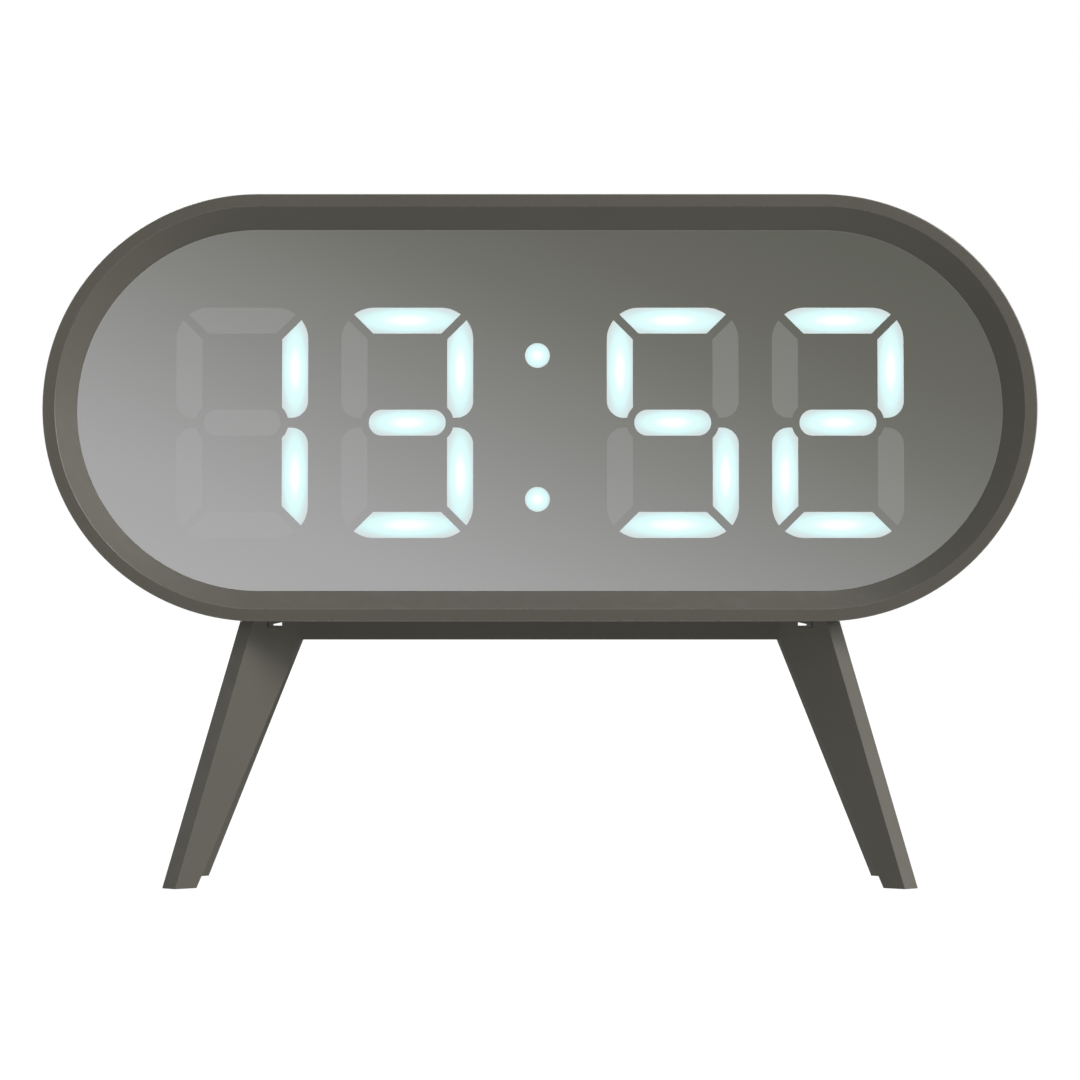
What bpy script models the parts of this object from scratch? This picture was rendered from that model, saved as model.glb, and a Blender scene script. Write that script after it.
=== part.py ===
"""Pill-shaped LED desk clock on a four-legged stand, as an assembly of separate pieces.

World: metres, +Z up, feet at z = 0, front towards -Y. The housing leans back, so its pieces are
built in a housing frame: X right, Y depth behind the front rim plane, Z up along the front face.
"""
import math

import bmesh
import bpy
from mathutils import Matrix, Vector

MM = 0.001

# Housing frame
LEAN = math.radians(4.5)
FRAME_Y = -19.93 * MM
FRAME_Z = 101.76 * MM

# Housing outline and depths behind the rim plane
RIM_WIDTH = 210.8 * MM
RIM_HEIGHT = 91.0 * MM
RIM_RADIUS = RIM_HEIGHT / 2
HALF_FLAT = RIM_WIDTH / 2 - RIM_RADIUS
DRAFT = math.tan(LEAN)
RIM_FACE = 2.65 * MM
WALL = 2.0 * MM
LENS_INSET = 6.85 * MM
LENS_FRONT = 6.3 * MM
LENS_THICK = 2.0 * MM
LEDGE_FRONT = 9.3 * MM
LEDGE_BACK = 11.0 * MM
LEDGE_INSET = 9.6 * MM
SPLIT = 30.0 * MM
BODY_DEPTH = 40.0 * MM
BACK_ROUND = 5.0 * MM
GAP = 0.3 * MM
ARC_STEPS = 22

# Digits
DIGIT_X = (-63.5 * MM, -28.3 * MM, 28.3 * MM, 63.5 * MM)
DIGIT_Z = -2.5 * MM
DIGIT_HALF_W = 14.05 * MM
DIGIT_HALF_H = 24.65 * MM
SEGMENT = 5.55 * MM
SEGMENT_GAP = 1.77 * MM
WAIST_GAP = 2.1 * MM
CORNER_R = 6.9 * MM
WAIST_R = 3.6 * MM
BAR_HALF = 8.2 * MM
BAR_R = 2.775 * MM
BAR_CLEAR_R = 4.45 * MM
COLON_X = -0.55 * MM
COLON_R = 2.65 * MM
COLON_HALF_PITCH = 15.4 * MM
COLON_Z = -1.0 * MM + DIGIT_Z

# Light path and boards
REFLECTOR_HALF_W = 80.5 * MM
REFLECTOR_TOP = 25.5 * MM
REFLECTOR_BOTTOM = -30.5 * MM
REFLECTOR_BACK = 17.3 * MM
DISPLAY_BOARD = (17.6 * MM, 19.2 * MM)
MAIN_BOARD = (27.0 * MM, 28.6 * MM)
MAIN_BOARD_X = (-10.0 * MM, 82.0 * MM)
MAIN_BOARD_HALF_Z = 21.0 * MM

# Fastening
COVER_SCREW_INSET = 10.6 * MM
COVER_SCREW_ANGLE = math.radians(40)
DISPLAY_SCREWS = [(sx * 40.0 * MM, sz * 34.5 * MM) for sx in (-1, 1) for sz in (-1, 1)]
BOARD_SCREWS = [(2.0 * MM, -10.0 * MM), (77.5 * MM, -10.0 * MM)]
STAND_SCREW_X = 35.0 * MM
HOLE_R = 1.3 * MM
SHANK_R = 1.0 * MM

# Controls on the back
KEY_X = (12.0 * MM, 25.0 * MM, 38.0 * MM, 51.0 * MM)
KEY_Z = 8.0 * MM
KEY_W = 10.0 * MM
KEY_H = 6.0 * MM
KEY_TRAVEL = 0.6 * MM
SLIDER_X = 68.0 * MM
SLIDER_TRAVEL = 3.5 * MM
SOCKET_X = 27.0 * MM
SOCKET_Z = -11.0 * MM
BUZZER_X = 60.0 * MM
BUZZER_Z = -11.0 * MM

# Batteries
BAY_X = (-71.5 * MM, -18.5 * MM)
BAY_HALF_Z = 16.9 * MM
BAY_FLOOR = (25.2 * MM, 26.7 * MM)
BAY_WALL = 3.0 * MM
CELL_R = 5.25 * MM
CELL_LENGTH = 44.5 * MM
CELL_DEPTH = 32.25 * MM
CELL_PITCH = 10.8 * MM
DOOR_X = (-73.0 * MM, -17.0 * MM)
DOOR_HALF_Z = 19.0 * MM
DOOR_DEPTH = (38.4 * MM, 40.0 * MM)
DOOR_AXIS_X = DOOR_X[0] + 0.8 * MM
DOOR_AXIS_Y = 39.2 * MM

# Stand
STAND_TOP = 56.35 * MM
BAR_BOTTOM = 52.3 * MM
BAR_HALF_X = 51.6 * MM
BAR_HALF_Y = 7.4 * MM
TONGUE_HALF_X = 54.5 * MM
TONGUE_HALF_Y = 6.5 * MM
LEG_PLAN_ANGLE = math.radians(43)
LEG_THICK = 4.3 * MM
LEG_FOOT = (-76.88 * MM, -26.2 * MM)
LEG_LEAN = (0.285, 0.16)
LEG_WIDTH_FOOT = 5.86 * MM
LEG_WIDTH_GROWTH = 0.171
LEG_BOTTOM = 0.04 * MM
SLOT_X = (55.0 * MM, 58.0 * MM)
SLOT_FLOOR = 55.0 * MM
SLOT_ROOF = (55.95 * MM, 55.33 * MM)
PAD_THICK = 0.8 * MM


# ---------------------------------------------------------------- scene and materials

def clear_scene():
    for obj in list(bpy.data.objects):
        bpy.data.objects.remove(obj, do_unlink=True)


def make_collection(name, hidden=False):
    collection = bpy.data.collections.new(name)
    bpy.context.scene.collection.children.link(collection)
    collection.hide_render = hidden
    return collection


def material(name, colour, roughness, metallic=0.0, alpha=1.0):
    mat = bpy.data.materials.new(name)
    mat.use_nodes = True
    shader = mat.node_tree.nodes["Principled BSDF"]
    shader.inputs["Base Color"].default_value = (*colour, 1.0)
    shader.inputs["Roughness"].default_value = roughness
    shader.inputs["Metallic"].default_value = metallic
    shader.inputs["Alpha"].default_value = alpha
    mat.diffuse_color = (*colour, 1.0)
    return mat


def moss_plastic():
    return material("moss_plastic", (0.11, 0.105, 0.085), 0.55)


def mirror_glass():
    return material("mirror_glass", (0.35, 0.35, 0.32), 0.03, 0.9)


def tape_foam():
    return material("tape_foam", (0.03, 0.03, 0.03), 0.8)


def diffuser_film():
    return material("diffuser_film", (0.8, 0.82, 0.82), 0.4)


def white_plastic():
    return material("white_plastic", (0.85, 0.85, 0.84), 0.4)


def board_laminate():
    return material("board_laminate", (0.02, 0.12, 0.06), 0.45)


def ribbon_plastic():
    return material("ribbon_plastic", (0.45, 0.46, 0.48), 0.5)


def black_plastic():
    return material("black_plastic", (0.02, 0.02, 0.02), 0.5)


def bright_steel():
    return material("bright_steel", (0.6, 0.6, 0.6), 0.3, 1.0)


def key_plastic():
    return material("key_plastic", (0.05, 0.048, 0.04), 0.5)


def cell_wrap():
    return material("cell_wrap", (0.10, 0.22, 0.40), 0.35)


def pad_rubber():
    return material("pad_rubber", (0.03, 0.03, 0.03), 0.9)


def red_sleeve():
    return material("red_sleeve", (0.5, 0.03, 0.02), 0.5)


def black_sleeve():
    return material("black_sleeve", (0.03, 0.03, 0.03), 0.5)


# ---------------------------------------------------------------- geometry helpers

def mesh_from(bm, name):
    bmesh.ops.recalc_face_normals(bm, faces=bm.faces[:])
    mesh = bpy.data.meshes.new(name)
    bm.to_mesh(mesh)
    bm.free()
    return mesh


def link(obj, collection):
    collection.objects.link(obj)
    return obj


def shade(obj, angle=35):
    bpy.context.view_layer.objects.active = obj
    obj.data.polygons.foreach_set("use_smooth", [True] * len(obj.data.polygons))
    obj.data.set_sharp_from_angle(angle=math.radians(angle))


def piece(name, mesh, mat, origin=(0.0, 0.0, 0.0), in_housing=True):
    """A node: its mesh arrives in frame coordinates and is shifted so that origin is its own."""
    mesh.transform(Matrix.Translation(-Vector(origin)))
    mesh.materials.clear()
    mesh.materials.append(mat)
    obj = link(bpy.data.objects.new(name, mesh), PARTS)
    obj.location = origin
    if in_housing:
        obj.parent = HOUSING
    shade(obj)
    return obj


def helper(name, mesh, in_housing=True):
    obj = link(bpy.data.objects.new(name, mesh), CUTTERS)
    obj.hide_render = True
    obj.display_type = "WIRE"
    if in_housing:
        obj.parent = HOUSING
    return obj


def combine(obj, other, operation):
    modifier = obj.modifiers.new(operation.lower(), "BOOLEAN")
    modifier.operation = operation
    modifier.solver = "EXACT"
    modifier.object = other
    return modifier


def join_to(obj, mesh, in_housing=True):
    combine(obj, helper(obj.name + "_add", mesh, in_housing), "UNION")


def cut_from(obj, mesh, in_housing=True):
    combine(obj, helper(obj.name + "_cut", mesh, in_housing), "DIFFERENCE")


def add_box(bm, x, y, z):
    size = Matrix.Diagonal((x[1] - x[0], y[1] - y[0], z[1] - z[0], 1.0))
    centre = Matrix.Translation(((x[0] + x[1]) / 2, (y[0] + y[1]) / 2, (z[0] + z[1]) / 2))
    bmesh.ops.create_cube(bm, size=1.0, matrix=centre @ size)


def add_rod(bm, x, z, depth, radius, steps=16, tip=None):
    """A cylinder along the depth axis of the housing."""
    turn = Matrix.Rotation(math.radians(-90), 4, "X")
    centre = Matrix.Translation((x, (depth[0] + depth[1]) / 2, z))
    bmesh.ops.create_cone(
        bm,
        cap_ends=True,
        segments=steps,
        radius1=radius,
        radius2=radius if tip is None else tip,
        depth=depth[1] - depth[0],
        matrix=centre @ turn,
    )


def add_post(bm, x, y, z, radius, steps=16):
    """A cylinder along the world vertical, in world coordinates."""
    centre = Matrix.Translation((x, y, (z[0] + z[1]) / 2))
    bmesh.ops.create_cone(
        bm,
        cap_ends=True,
        segments=steps,
        radius1=radius,
        radius2=radius,
        depth=z[1] - z[0],
        matrix=centre,
    )


def stadium(inset, steps=ARC_STEPS):
    radius = RIM_RADIUS - inset
    points = []
    for side in (1, -1):
        for step in range(steps + 1):
            angle = math.pi * step / steps - math.pi / 2
            if side < 0:
                angle += math.pi
            points.append((side * HALF_FLAT + radius * math.cos(angle), radius * math.sin(angle)))
    return points


def stadium_loft(name, profile, ring, steps=ARC_STEPS):
    """Stadium loops of (inset, depth), joined in order. A ring closes on itself, a bowl is capped."""
    bm = bmesh.new()
    loops = []
    for inset, depth in profile:
        loops.append([bm.verts.new((x, depth, z)) for x, z in stadium(inset, steps)])
    pairs = list(zip(loops, loops[1:]))
    if ring:
        pairs.append((loops[-1], loops[0]))
    for first, second in pairs:
        count = len(first)
        for i in range(count):
            j = (i + 1) % count
            bm.faces.new((first[i], first[j], second[j], second[i]))
    if not ring:
        bm.faces.new(loops[0])
        bm.faces.new(loops[-1])
    return mesh_from(bm, name)


def rounded(cx, cz, width, height, radius, steps=4):
    points = []
    for quarter, (sx, sz) in enumerate(((1, 1), (-1, 1), (-1, -1), (1, -1))):
        for step in range(steps + 1):
            angle = math.pi / 2 * (quarter + step / steps)
            x = cx + sx * (width / 2 - radius) + radius * math.cos(angle)
            z = cz + sz * (height / 2 - radius) + radius * math.sin(angle)
            points.append((x, z))
    return points


def circle(cx, cz, radius, steps=12):
    turns = [2 * math.pi * step / steps for step in range(steps)]
    return [(cx + radius * math.cos(a), cz + radius * math.sin(a)) for a in turns]


def plate(name, outlines, depth):
    """A flat sheet between two depths. The outlines after the first are its holes."""
    curve = bpy.data.curves.new(name, "CURVE")
    curve.dimensions = "2D"
    curve.fill_mode = "BOTH"
    curve.extrude = (depth[1] - depth[0]) / 2
    for outline in outlines:
        spline = curve.splines.new("POLY")
        spline.points.add(len(outline) - 1)
        for point, (x, z) in zip(spline.points, outline):
            point.co = (x, z, 0.0, 1.0)
        spline.use_cyclic_u = True
    flat = bpy.data.objects.new(name + "_flat", curve)
    bpy.context.scene.collection.objects.link(flat)
    mesh = bpy.data.meshes.new_from_object(flat)
    bpy.data.objects.remove(flat, do_unlink=True)
    bpy.data.curves.remove(curve)
    mesh.transform(Matrix.Rotation(math.radians(90), 4, "X"))
    mesh.transform(Matrix.Translation((0.0, (depth[0] + depth[1]) / 2, 0.0)))
    bm = bmesh.new()
    bm.from_mesh(mesh)
    bmesh.ops.remove_doubles(bm, verts=bm.verts[:], dist=1e-6)
    bpy.data.meshes.remove(mesh)
    return mesh_from(bm, name)


def wire(name, points, radius, sides=2):
    """A round wire along a path, as a closed mesh."""
    curve = bpy.data.curves.new(name, "CURVE")
    curve.dimensions = "3D"
    curve.bevel_depth = radius
    curve.bevel_resolution = sides
    curve.use_fill_caps = True
    spline = curve.splines.new("POLY")
    spline.points.add(len(points) - 1)
    for point, place in zip(spline.points, points):
        point.co = (*place, 1.0)
    path = bpy.data.objects.new(name + "_path", curve)
    bpy.context.scene.collection.objects.link(path)
    mesh = bpy.data.meshes.new_from_object(path)
    bpy.data.objects.remove(path, do_unlink=True)
    bpy.data.curves.remove(curve)
    bm = bmesh.new()
    bm.from_mesh(mesh)
    bmesh.ops.remove_doubles(bm, verts=bm.verts[:], dist=1e-6)
    bpy.data.meshes.remove(mesh)
    return mesh_from(bm, name)


def smooth_path(points, steps=6):
    """Catmull-Rom points through the given ones."""
    ends = [points[0]] + list(points) + [points[-1]]
    path = []
    for i in range(1, len(ends) - 2):
        p0, p1, p2, p3 = (Vector(p) for p in ends[i - 1:i + 3])
        for step in range(steps):
            t = step / steps
            curve = 2 * p1 + (p2 - p0) * t
            curve += (2 * p0 - 5 * p1 + 4 * p2 - p3) * t ** 2
            curve += (3 * p1 - p0 - 3 * p2 + p3) * t ** 3
            path.append(curve / 2)
    path.append(Vector(points[-1]))
    return path


def turned(name, profile, steps=16):
    """A profile of (radius, height), top first, turned about Z with a Screw and made a mesh."""
    bm = bmesh.new()
    verts = [bm.verts.new((radius, 0.0, height)) for radius, height in profile]
    for first, second in zip(verts, verts[1:]):
        bm.edges.new((first, second))
    mesh = bpy.data.meshes.new(name)
    bm.to_mesh(mesh)
    bm.free()
    obj = bpy.data.objects.new(name + "_turn", mesh)
    bpy.context.scene.collection.objects.link(obj)
    screw = obj.modifiers.new("turn", "SCREW")
    screw.axis = "Z"
    screw.steps = steps
    screw.render_steps = steps
    screw.use_merge_vertices = True
    screw.merge_threshold = 1e-5
    bpy.context.view_layer.update()
    graph = bpy.context.evaluated_depsgraph_get()
    made = bpy.data.meshes.new_from_object(obj.evaluated_get(graph))
    bpy.data.objects.remove(obj, do_unlink=True)
    bpy.data.meshes.remove(mesh)
    bm = bmesh.new()
    bm.from_mesh(made)
    bpy.data.meshes.remove(made)
    return mesh_from(bm, name)


def world_to_housing():
    return (Matrix.Translation((0.0, FRAME_Y, FRAME_Z)) @ Matrix.Rotation(-LEAN, 4, "X")).inverted()


# ---------------------------------------------------------------- digit segments

def arc(cx, cz, radius, start, end, steps=4):
    points = []
    for step in range(steps + 1):
        angle = math.radians(start + (end - start) * step / steps)
        points.append((cx + radius * math.cos(angle), cz + radius * math.sin(angle)))
    return points


def top_segment():
    cx = -DIGIT_HALF_W + CORNER_R
    cz = DIGIT_HALF_H - CORNER_R
    cut = math.degrees(math.asin(SEGMENT_GAP / 2 / CORNER_R))
    left = arc(cx, cz, CORNER_R, 135 - cut, 90)
    inner_x = cx + SEGMENT_GAP / 2 * math.sqrt(2) - (CORNER_R - SEGMENT)
    inner = (inner_x, DIGIT_HALF_H - SEGMENT)
    return [inner] + left + [(-x, z) for x, z in reversed(left)] + [(-inner[0], inner[1])]


def side_segment():
    """The upper left one."""
    cx = -DIGIT_HALF_W + CORNER_R
    cz = DIGIT_HALF_H - CORNER_R
    cut = math.degrees(math.asin(SEGMENT_GAP / 2 / CORNER_R))
    outer = arc(cx, cz, CORNER_R, 135 + cut, 180)
    low = WAIST_GAP / 2
    waist = arc(-DIGIT_HALF_W + WAIST_R, low + WAIST_R, WAIST_R, 180, 270)
    centre = -(BAR_HALF - BAR_R)
    inner_x = -DIGIT_HALF_W + SEGMENT
    first = math.degrees(math.asin(low / BAR_CLEAR_R))
    last = math.degrees(math.acos((centre - inner_x) / BAR_CLEAR_R))
    clear = arc(centre, 0.0, BAR_CLEAR_R, 180 - first, 180 - last)
    top = (inner_x, cz - SEGMENT_GAP / 2 * math.sqrt(2) + (CORNER_R - SEGMENT))
    return outer + waist + clear + [top]


def middle_segment():
    centre = BAR_HALF - BAR_R
    return arc(centre, 0.0, BAR_R, -90, 90, 6) + arc(-centre, 0.0, BAR_R, 90, 270, 6)


def digit_segments(cx):
    top = top_segment()
    side = side_segment()
    shapes = [top, side, middle_segment()]
    shapes.append([(x, -z) for x, z in reversed(top)])
    shapes.append([(-x, z) for x, z in reversed(side)])
    shapes.append([(x, -z) for x, z in reversed(side)])
    shapes.append([(-x, -z) for x, z in side])
    return [[(x + cx, z + DIGIT_Z) for x, z in shape] for shape in shapes]


def all_segments():
    shapes = []
    for cx in DIGIT_X:
        shapes.extend(digit_segments(cx))
    for sign in (1, -1):
        shapes.append(circle(COLON_X, COLON_Z + sign * COLON_HALF_PITCH, COLON_R))
    return shapes


def segment_centres():
    reach_x = DIGIT_HALF_W - SEGMENT / 2
    reach_z = DIGIT_HALF_H - SEGMENT / 2
    middle = DIGIT_HALF_H / 2
    centres = []
    for cx in DIGIT_X:
        for z in (reach_z, 0.0, -reach_z):
            centres.append((cx, z + DIGIT_Z, True))
        for x in (-reach_x, reach_x):
            for z in (-middle, middle):
                centres.append((cx + x, z + DIGIT_Z, False))
    for sign in (1, -1):
        centres.append((COLON_X, COLON_Z + sign * COLON_HALF_PITCH, False))
    return centres


# ---------------------------------------------------------------- shared positions

def cover_screws():
    reach = RIM_RADIUS - COVER_SCREW_INSET
    places = [(0.0, reach), (0.0, -reach)]
    for sx in (-1, 1):
        for sz in (-1, 1):
            x = sx * (HALF_FLAT + reach * math.cos(COVER_SCREW_ANGLE))
            places.append((x, sz * reach * math.sin(COVER_SCREW_ANGLE)))
    return places


def cell_rows():
    """(height, +1 when the button end points left) of each cell, top first."""
    return [(CELL_PITCH, 1), (0.0, -1), (-CELL_PITCH, 1)]


# ---------------------------------------------------------------- housing shell

def front_housing(mat):
    outer = [(0.0, 0.3 * MM), (SPLIT * DRAFT, SPLIT)]
    inner = [(WALL + SPLIT * DRAFT, SPLIT), (2.19 * MM, 2.46 * MM), (4.95 * MM, 6.8 * MM)]
    ledge = [(4.95 * MM, LEDGE_BACK), (LEDGE_INSET, LEDGE_BACK), (LEDGE_INSET, LEDGE_FRONT)]
    recess = [(LENS_INSET, LEDGE_FRONT), (LENS_INSET, 6.2 * MM), (RIM_FACE + 0.15 * MM, 0.15 * MM)]
    face = [(RIM_FACE, 0.0), (0.3 * MM, 0.0)]
    mesh = stadium_loft("front_housing", outer + inner + ledge + recess + face, True)
    obj = piece("front_housing", mesh, mat)
    bm = bmesh.new()
    for x, z in cover_screws():
        add_rod(bm, x, z, (LEDGE_BACK - 1.0 * MM, SPLIT), 2.8 * MM)
    for x, z in DISPLAY_SCREWS:
        add_rod(bm, x, z, (LEDGE_BACK - 1.2 * MM, REFLECTOR_BACK), 2.8 * MM)
    join_to(obj, mesh_from(bm, "front_housing_bosses"))
    bm = bmesh.new()
    for sign in (-1, 1):
        add_post(bm, sign * STAND_SCREW_X, 0.0, (57.2 * MM, 68.0 * MM), 3.0 * MM)
    posts = mesh_from(bm, "front_housing_posts")
    posts.transform(world_to_housing())
    join_to(obj, posts)
    bm = bmesh.new()
    for x, z in cover_screws():
        add_rod(bm, x, z, (20.0 * MM, SPLIT + 1.0 * MM), HOLE_R, 12)
    for x, z in DISPLAY_SCREWS:
        add_rod(bm, x, z, (12.0 * MM, REFLECTOR_BACK + 1.0 * MM), HOLE_R, 12)
    cut_from(obj, mesh_from(bm, "front_housing_holes"))
    bm = bmesh.new()
    for sign in (-1, 1):
        add_post(bm, sign * STAND_SCREW_X, 0.0, (50.0 * MM, 66.5 * MM), HOLE_R, 12)
    holes = mesh_from(bm, "front_housing_stand_holes")
    holes.transform(world_to_housing())
    cut_from(obj, holes)
    return obj


def rear_profile():
    """(inset, depth) from the middle of the inner floor round the edge to the outer back face."""
    inner_r = BACK_ROUND - WALL
    bend = BODY_DEPTH - BACK_ROUND
    edge = bend * DRAFT
    inner = []
    for step in range(5):
        angle = math.pi / 2 * step / 4
        inset = edge + BACK_ROUND - inner_r * math.sin(angle)
        inner.append((inset, bend + inner_r * math.cos(angle)))
    inner.append((WALL + (SPLIT + GAP) * DRAFT, SPLIT + GAP))
    outer = [((SPLIT + GAP) * DRAFT, SPLIT + GAP)]
    for step in range(6):
        angle = math.pi / 2 * step / 5
        inset = edge + BACK_ROUND - BACK_ROUND * math.cos(angle)
        outer.append((inset, bend + BACK_ROUND * math.sin(angle)))
    return inner + outer


def rear_cover(mat):
    obj = piece("rear_cover", stadium_loft("rear_cover", rear_profile(), False), mat)
    inside = BODY_DEPTH - WALL + 0.8 * MM
    bm = bmesh.new()
    for x, z in cover_screws():
        add_rod(bm, x, z, (SPLIT + GAP, inside), 3.4 * MM)
    for x, z in BOARD_SCREWS:
        add_rod(bm, x, z, (MAIN_BOARD[1] + GAP, inside), 2.6 * MM)
    bay_x = (BAY_X[0] - BAY_WALL, BAY_X[1] + BAY_WALL)
    bay_z = BAY_HALF_Z + BAY_WALL + 0.6 * MM
    add_box(bm, bay_x, (BAY_FLOOR[0], inside), (-bay_z, bay_z))
    join_to(obj, mesh_from(bm, "rear_cover_posts"))
    cut_from(obj, rear_cover_holes())
    cut_from(obj, rear_cover_rebate())
    return obj


def rear_cover_holes():
    past = BODY_DEPTH + 1.0 * MM
    bm = bmesh.new()
    for x, z in cover_screws():
        add_rod(bm, x, z, (33.0 * MM, past), 2.7 * MM)
    for x, z in BOARD_SCREWS:
        add_rod(bm, x, z, (MAIN_BOARD[1] - 1.0 * MM, 37.0 * MM), HOLE_R, 12)
    for step in range(6):
        angle = math.pi / 3 * step
        x = BUZZER_X + 3.2 * MM * math.cos(angle)
        add_rod(bm, x, BUZZER_Z + 3.2 * MM * math.sin(angle), (37.0 * MM, past), 0.8 * MM, 10)
    add_rod(bm, BUZZER_X, BUZZER_Z, (37.0 * MM, past), 0.8 * MM, 10)
    add_box(bm, BAY_X, (BAY_FLOOR[1], past), (-BAY_HALF_Z, BAY_HALF_Z))
    mesh = mesh_from(bm, "rear_cover_holes")
    through = (37.0 * MM, past)
    openings = [rounded(x, KEY_Z, KEY_W + 2 * GAP, KEY_H + 2 * GAP, 1.8 * MM) for x in KEY_X]
    slot_length = 4.0 * MM + SLIDER_TRAVEL + 2 * GAP
    slot_x = SLIDER_X + SLIDER_TRAVEL / 2
    openings.append(rounded(slot_x, KEY_Z, slot_length, 3.0 * MM + 2 * GAP, 0.9 * MM, 3))
    openings.append(rounded(SOCKET_X, SOCKET_Z, 9.6 * MM, 3.9 * MM, 1.94 * MM, 4))
    bm = bmesh.new()
    bm.from_mesh(mesh)
    for number, outline in enumerate(openings):
        cutter = plate("opening_%d" % number, [outline], through)
        bm.from_mesh(cutter)
        bpy.data.meshes.remove(cutter)
    bpy.data.meshes.remove(mesh)
    return mesh_from(bm, "rear_cover_holes")


def rear_cover_rebate():
    past = BODY_DEPTH + 1.2 * MM
    bm = bmesh.new()
    for x, z in cover_screws():
        add_rod(bm, x, z, (SPLIT - 1.0 * MM, 34.0 * MM), HOLE_R, 12)
    door_x = (DOOR_X[0] - GAP, DOOR_X[1] + GAP)
    door_z = DOOR_HALF_Z + GAP
    add_box(bm, door_x, (DOOR_DEPTH[0] - GAP, past), (-door_z, door_z))
    add_box(bm, (BAY_X[0] - 0.1 * MM, BAY_X[0] + 0.9 * MM), (24.0 * MM, 28.0 * MM), (9.0 * MM, 12.6 * MM))
    add_box(bm, (BAY_X[1] - 0.9 * MM, BAY_X[1] + 0.1 * MM), (24.0 * MM, 28.0 * MM), (-12.6 * MM, -9.0 * MM))
    mesh = mesh_from(bm, "rear_cover_rebate")
    notch = bmesh.new()
    notch.from_mesh(mesh)
    bpy.data.meshes.remove(mesh)
    return mesh_from(notch, "rear_cover_rebate")


def rear_cover_latch_notch(obj):
    bm = bmesh.new()
    add_box(bm, (BAY_X[1] - 1.0 * MM, BAY_X[1] + 2.4 * MM), (33.0 * MM, 42.0 * MM), (-5.0 * MM, 5.0 * MM))
    cut_from(obj, mesh_from(bm, "rear_cover_latch_notch"))


def battery_door(mat):
    """Turns about its rounded left edge; a springy tongue at the right edge holds it shut."""
    bm = bmesh.new()
    add_box(bm, (DOOR_AXIS_X, DOOR_X[1]), DOOR_DEPTH, (-DOOR_HALF_Z, DOOR_HALF_Z))
    obj = piece("battery_door", mesh_from(bm, "battery_door"), mat, (DOOR_AXIS_X, DOOR_AXIS_Y, 0.0))
    bm = bmesh.new()
    bmesh.ops.create_cone(
        bm,
        cap_ends=True,
        segments=16,
        radius1=0.8 * MM,
        radius2=0.8 * MM,
        depth=2 * DOOR_HALF_Z,
        matrix=Matrix.Translation((DOOR_AXIS_X, DOOR_AXIS_Y, 0.0)),
    )
    join_to(obj, mesh_from(bm, "battery_door_edge"))
    bm = bmesh.new()
    tongue_x = (BAY_X[1] + 0.2 * MM, BAY_X[1] + 1.4 * MM)
    add_box(bm, tongue_x, (34.4 * MM, DOOR_DEPTH[0] + 0.5 * MM), (-4.0 * MM, 4.0 * MM))
    join_to(obj, mesh_from(bm, "battery_door_tongue"))
    bm = bmesh.new()
    add_rod(bm, DOOR_X[1] - 7.0 * MM, 0.0, (39.2 * MM, 41.0 * MM), 5.0 * MM, 20)
    cut_from(obj, mesh_from(bm, "battery_door_finger_dish"))
    return obj


# ---------------------------------------------------------------- front optics

def mirror_panel(mat):
    inset = LENS_INSET + 0.05 * MM
    back = LENS_FRONT + LENS_THICK
    edge = 0.2 * MM
    profile = [(inset + edge, LENS_FRONT), (inset, LENS_FRONT + edge), (inset, back - edge)]
    profile.append((inset + edge, back))
    return piece("mirror_panel", stadium_loft("mirror_panel", profile, False), mat)


def lens_tape(mat):
    outer = LENS_INSET + 0.4 * MM
    inner = LEDGE_INSET - 0.1 * MM
    front = 8.6 * MM
    back = 9.0 * MM
    profile = [(outer, front), (outer, back), (inner, back), (inner, front)]
    return piece("lens_tape", stadium_loft("lens_tape", profile, True, 16), mat)


def reflector_outline():
    height = REFLECTOR_TOP - REFLECTOR_BOTTOM
    middle = (REFLECTOR_TOP + REFLECTOR_BOTTOM) / 2
    return rounded(0.0, middle, 2 * REFLECTOR_HALF_W, height, 12.0 * MM, 6)


def diffuser_sheet(mat):
    mesh = plate("diffuser_sheet", [reflector_outline()], (8.6 * MM, 9.0 * MM))
    return piece("diffuser_sheet", mesh, mat)


def reflector_block(mat):
    outlines = [reflector_outline()] + all_segments()
    mesh = plate("reflector_block", outlines, (LEDGE_FRONT, REFLECTOR_BACK))
    return piece("reflector_block", mesh, mat)


def display_board(mat):
    outlines = [stadium(8.0 * MM, 16)]
    for x, z in DISPLAY_SCREWS:
        outlines.append(circle(x, z, HOLE_R))
    obj = piece("display_board", plate("display_board", outlines, DISPLAY_BOARD), mat)
    bm = bmesh.new()
    for x, z, flat in segment_centres():
        half_x = 1.6 * MM if flat else 1.0 * MM
        half_z = 1.0 * MM if flat else 1.6 * MM
        depth = (16.6 * MM, DISPLAY_BOARD[0] + 0.4 * MM)
        add_box(bm, (x - half_x, x + half_x), depth, (z - half_z, z + half_z))
    depth = (DISPLAY_BOARD[1] - 0.4 * MM, DISPLAY_BOARD[1] + 2.4 * MM)
    add_box(bm, (28.0 * MM, 40.0 * MM), depth, (17.0 * MM, 21.0 * MM))
    join_to(obj, mesh_from(bm, "display_board_lamps"))
    bm = bmesh.new()
    for x, z in cover_screws():
        add_rod(bm, x, z, (DISPLAY_BOARD[0] - 1.0 * MM, DISPLAY_BOARD[1] + 1.0 * MM), 3.4 * MM)
    cut_from(obj, mesh_from(bm, "display_board_notches"))
    return obj


# ---------------------------------------------------------------- electronics

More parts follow.
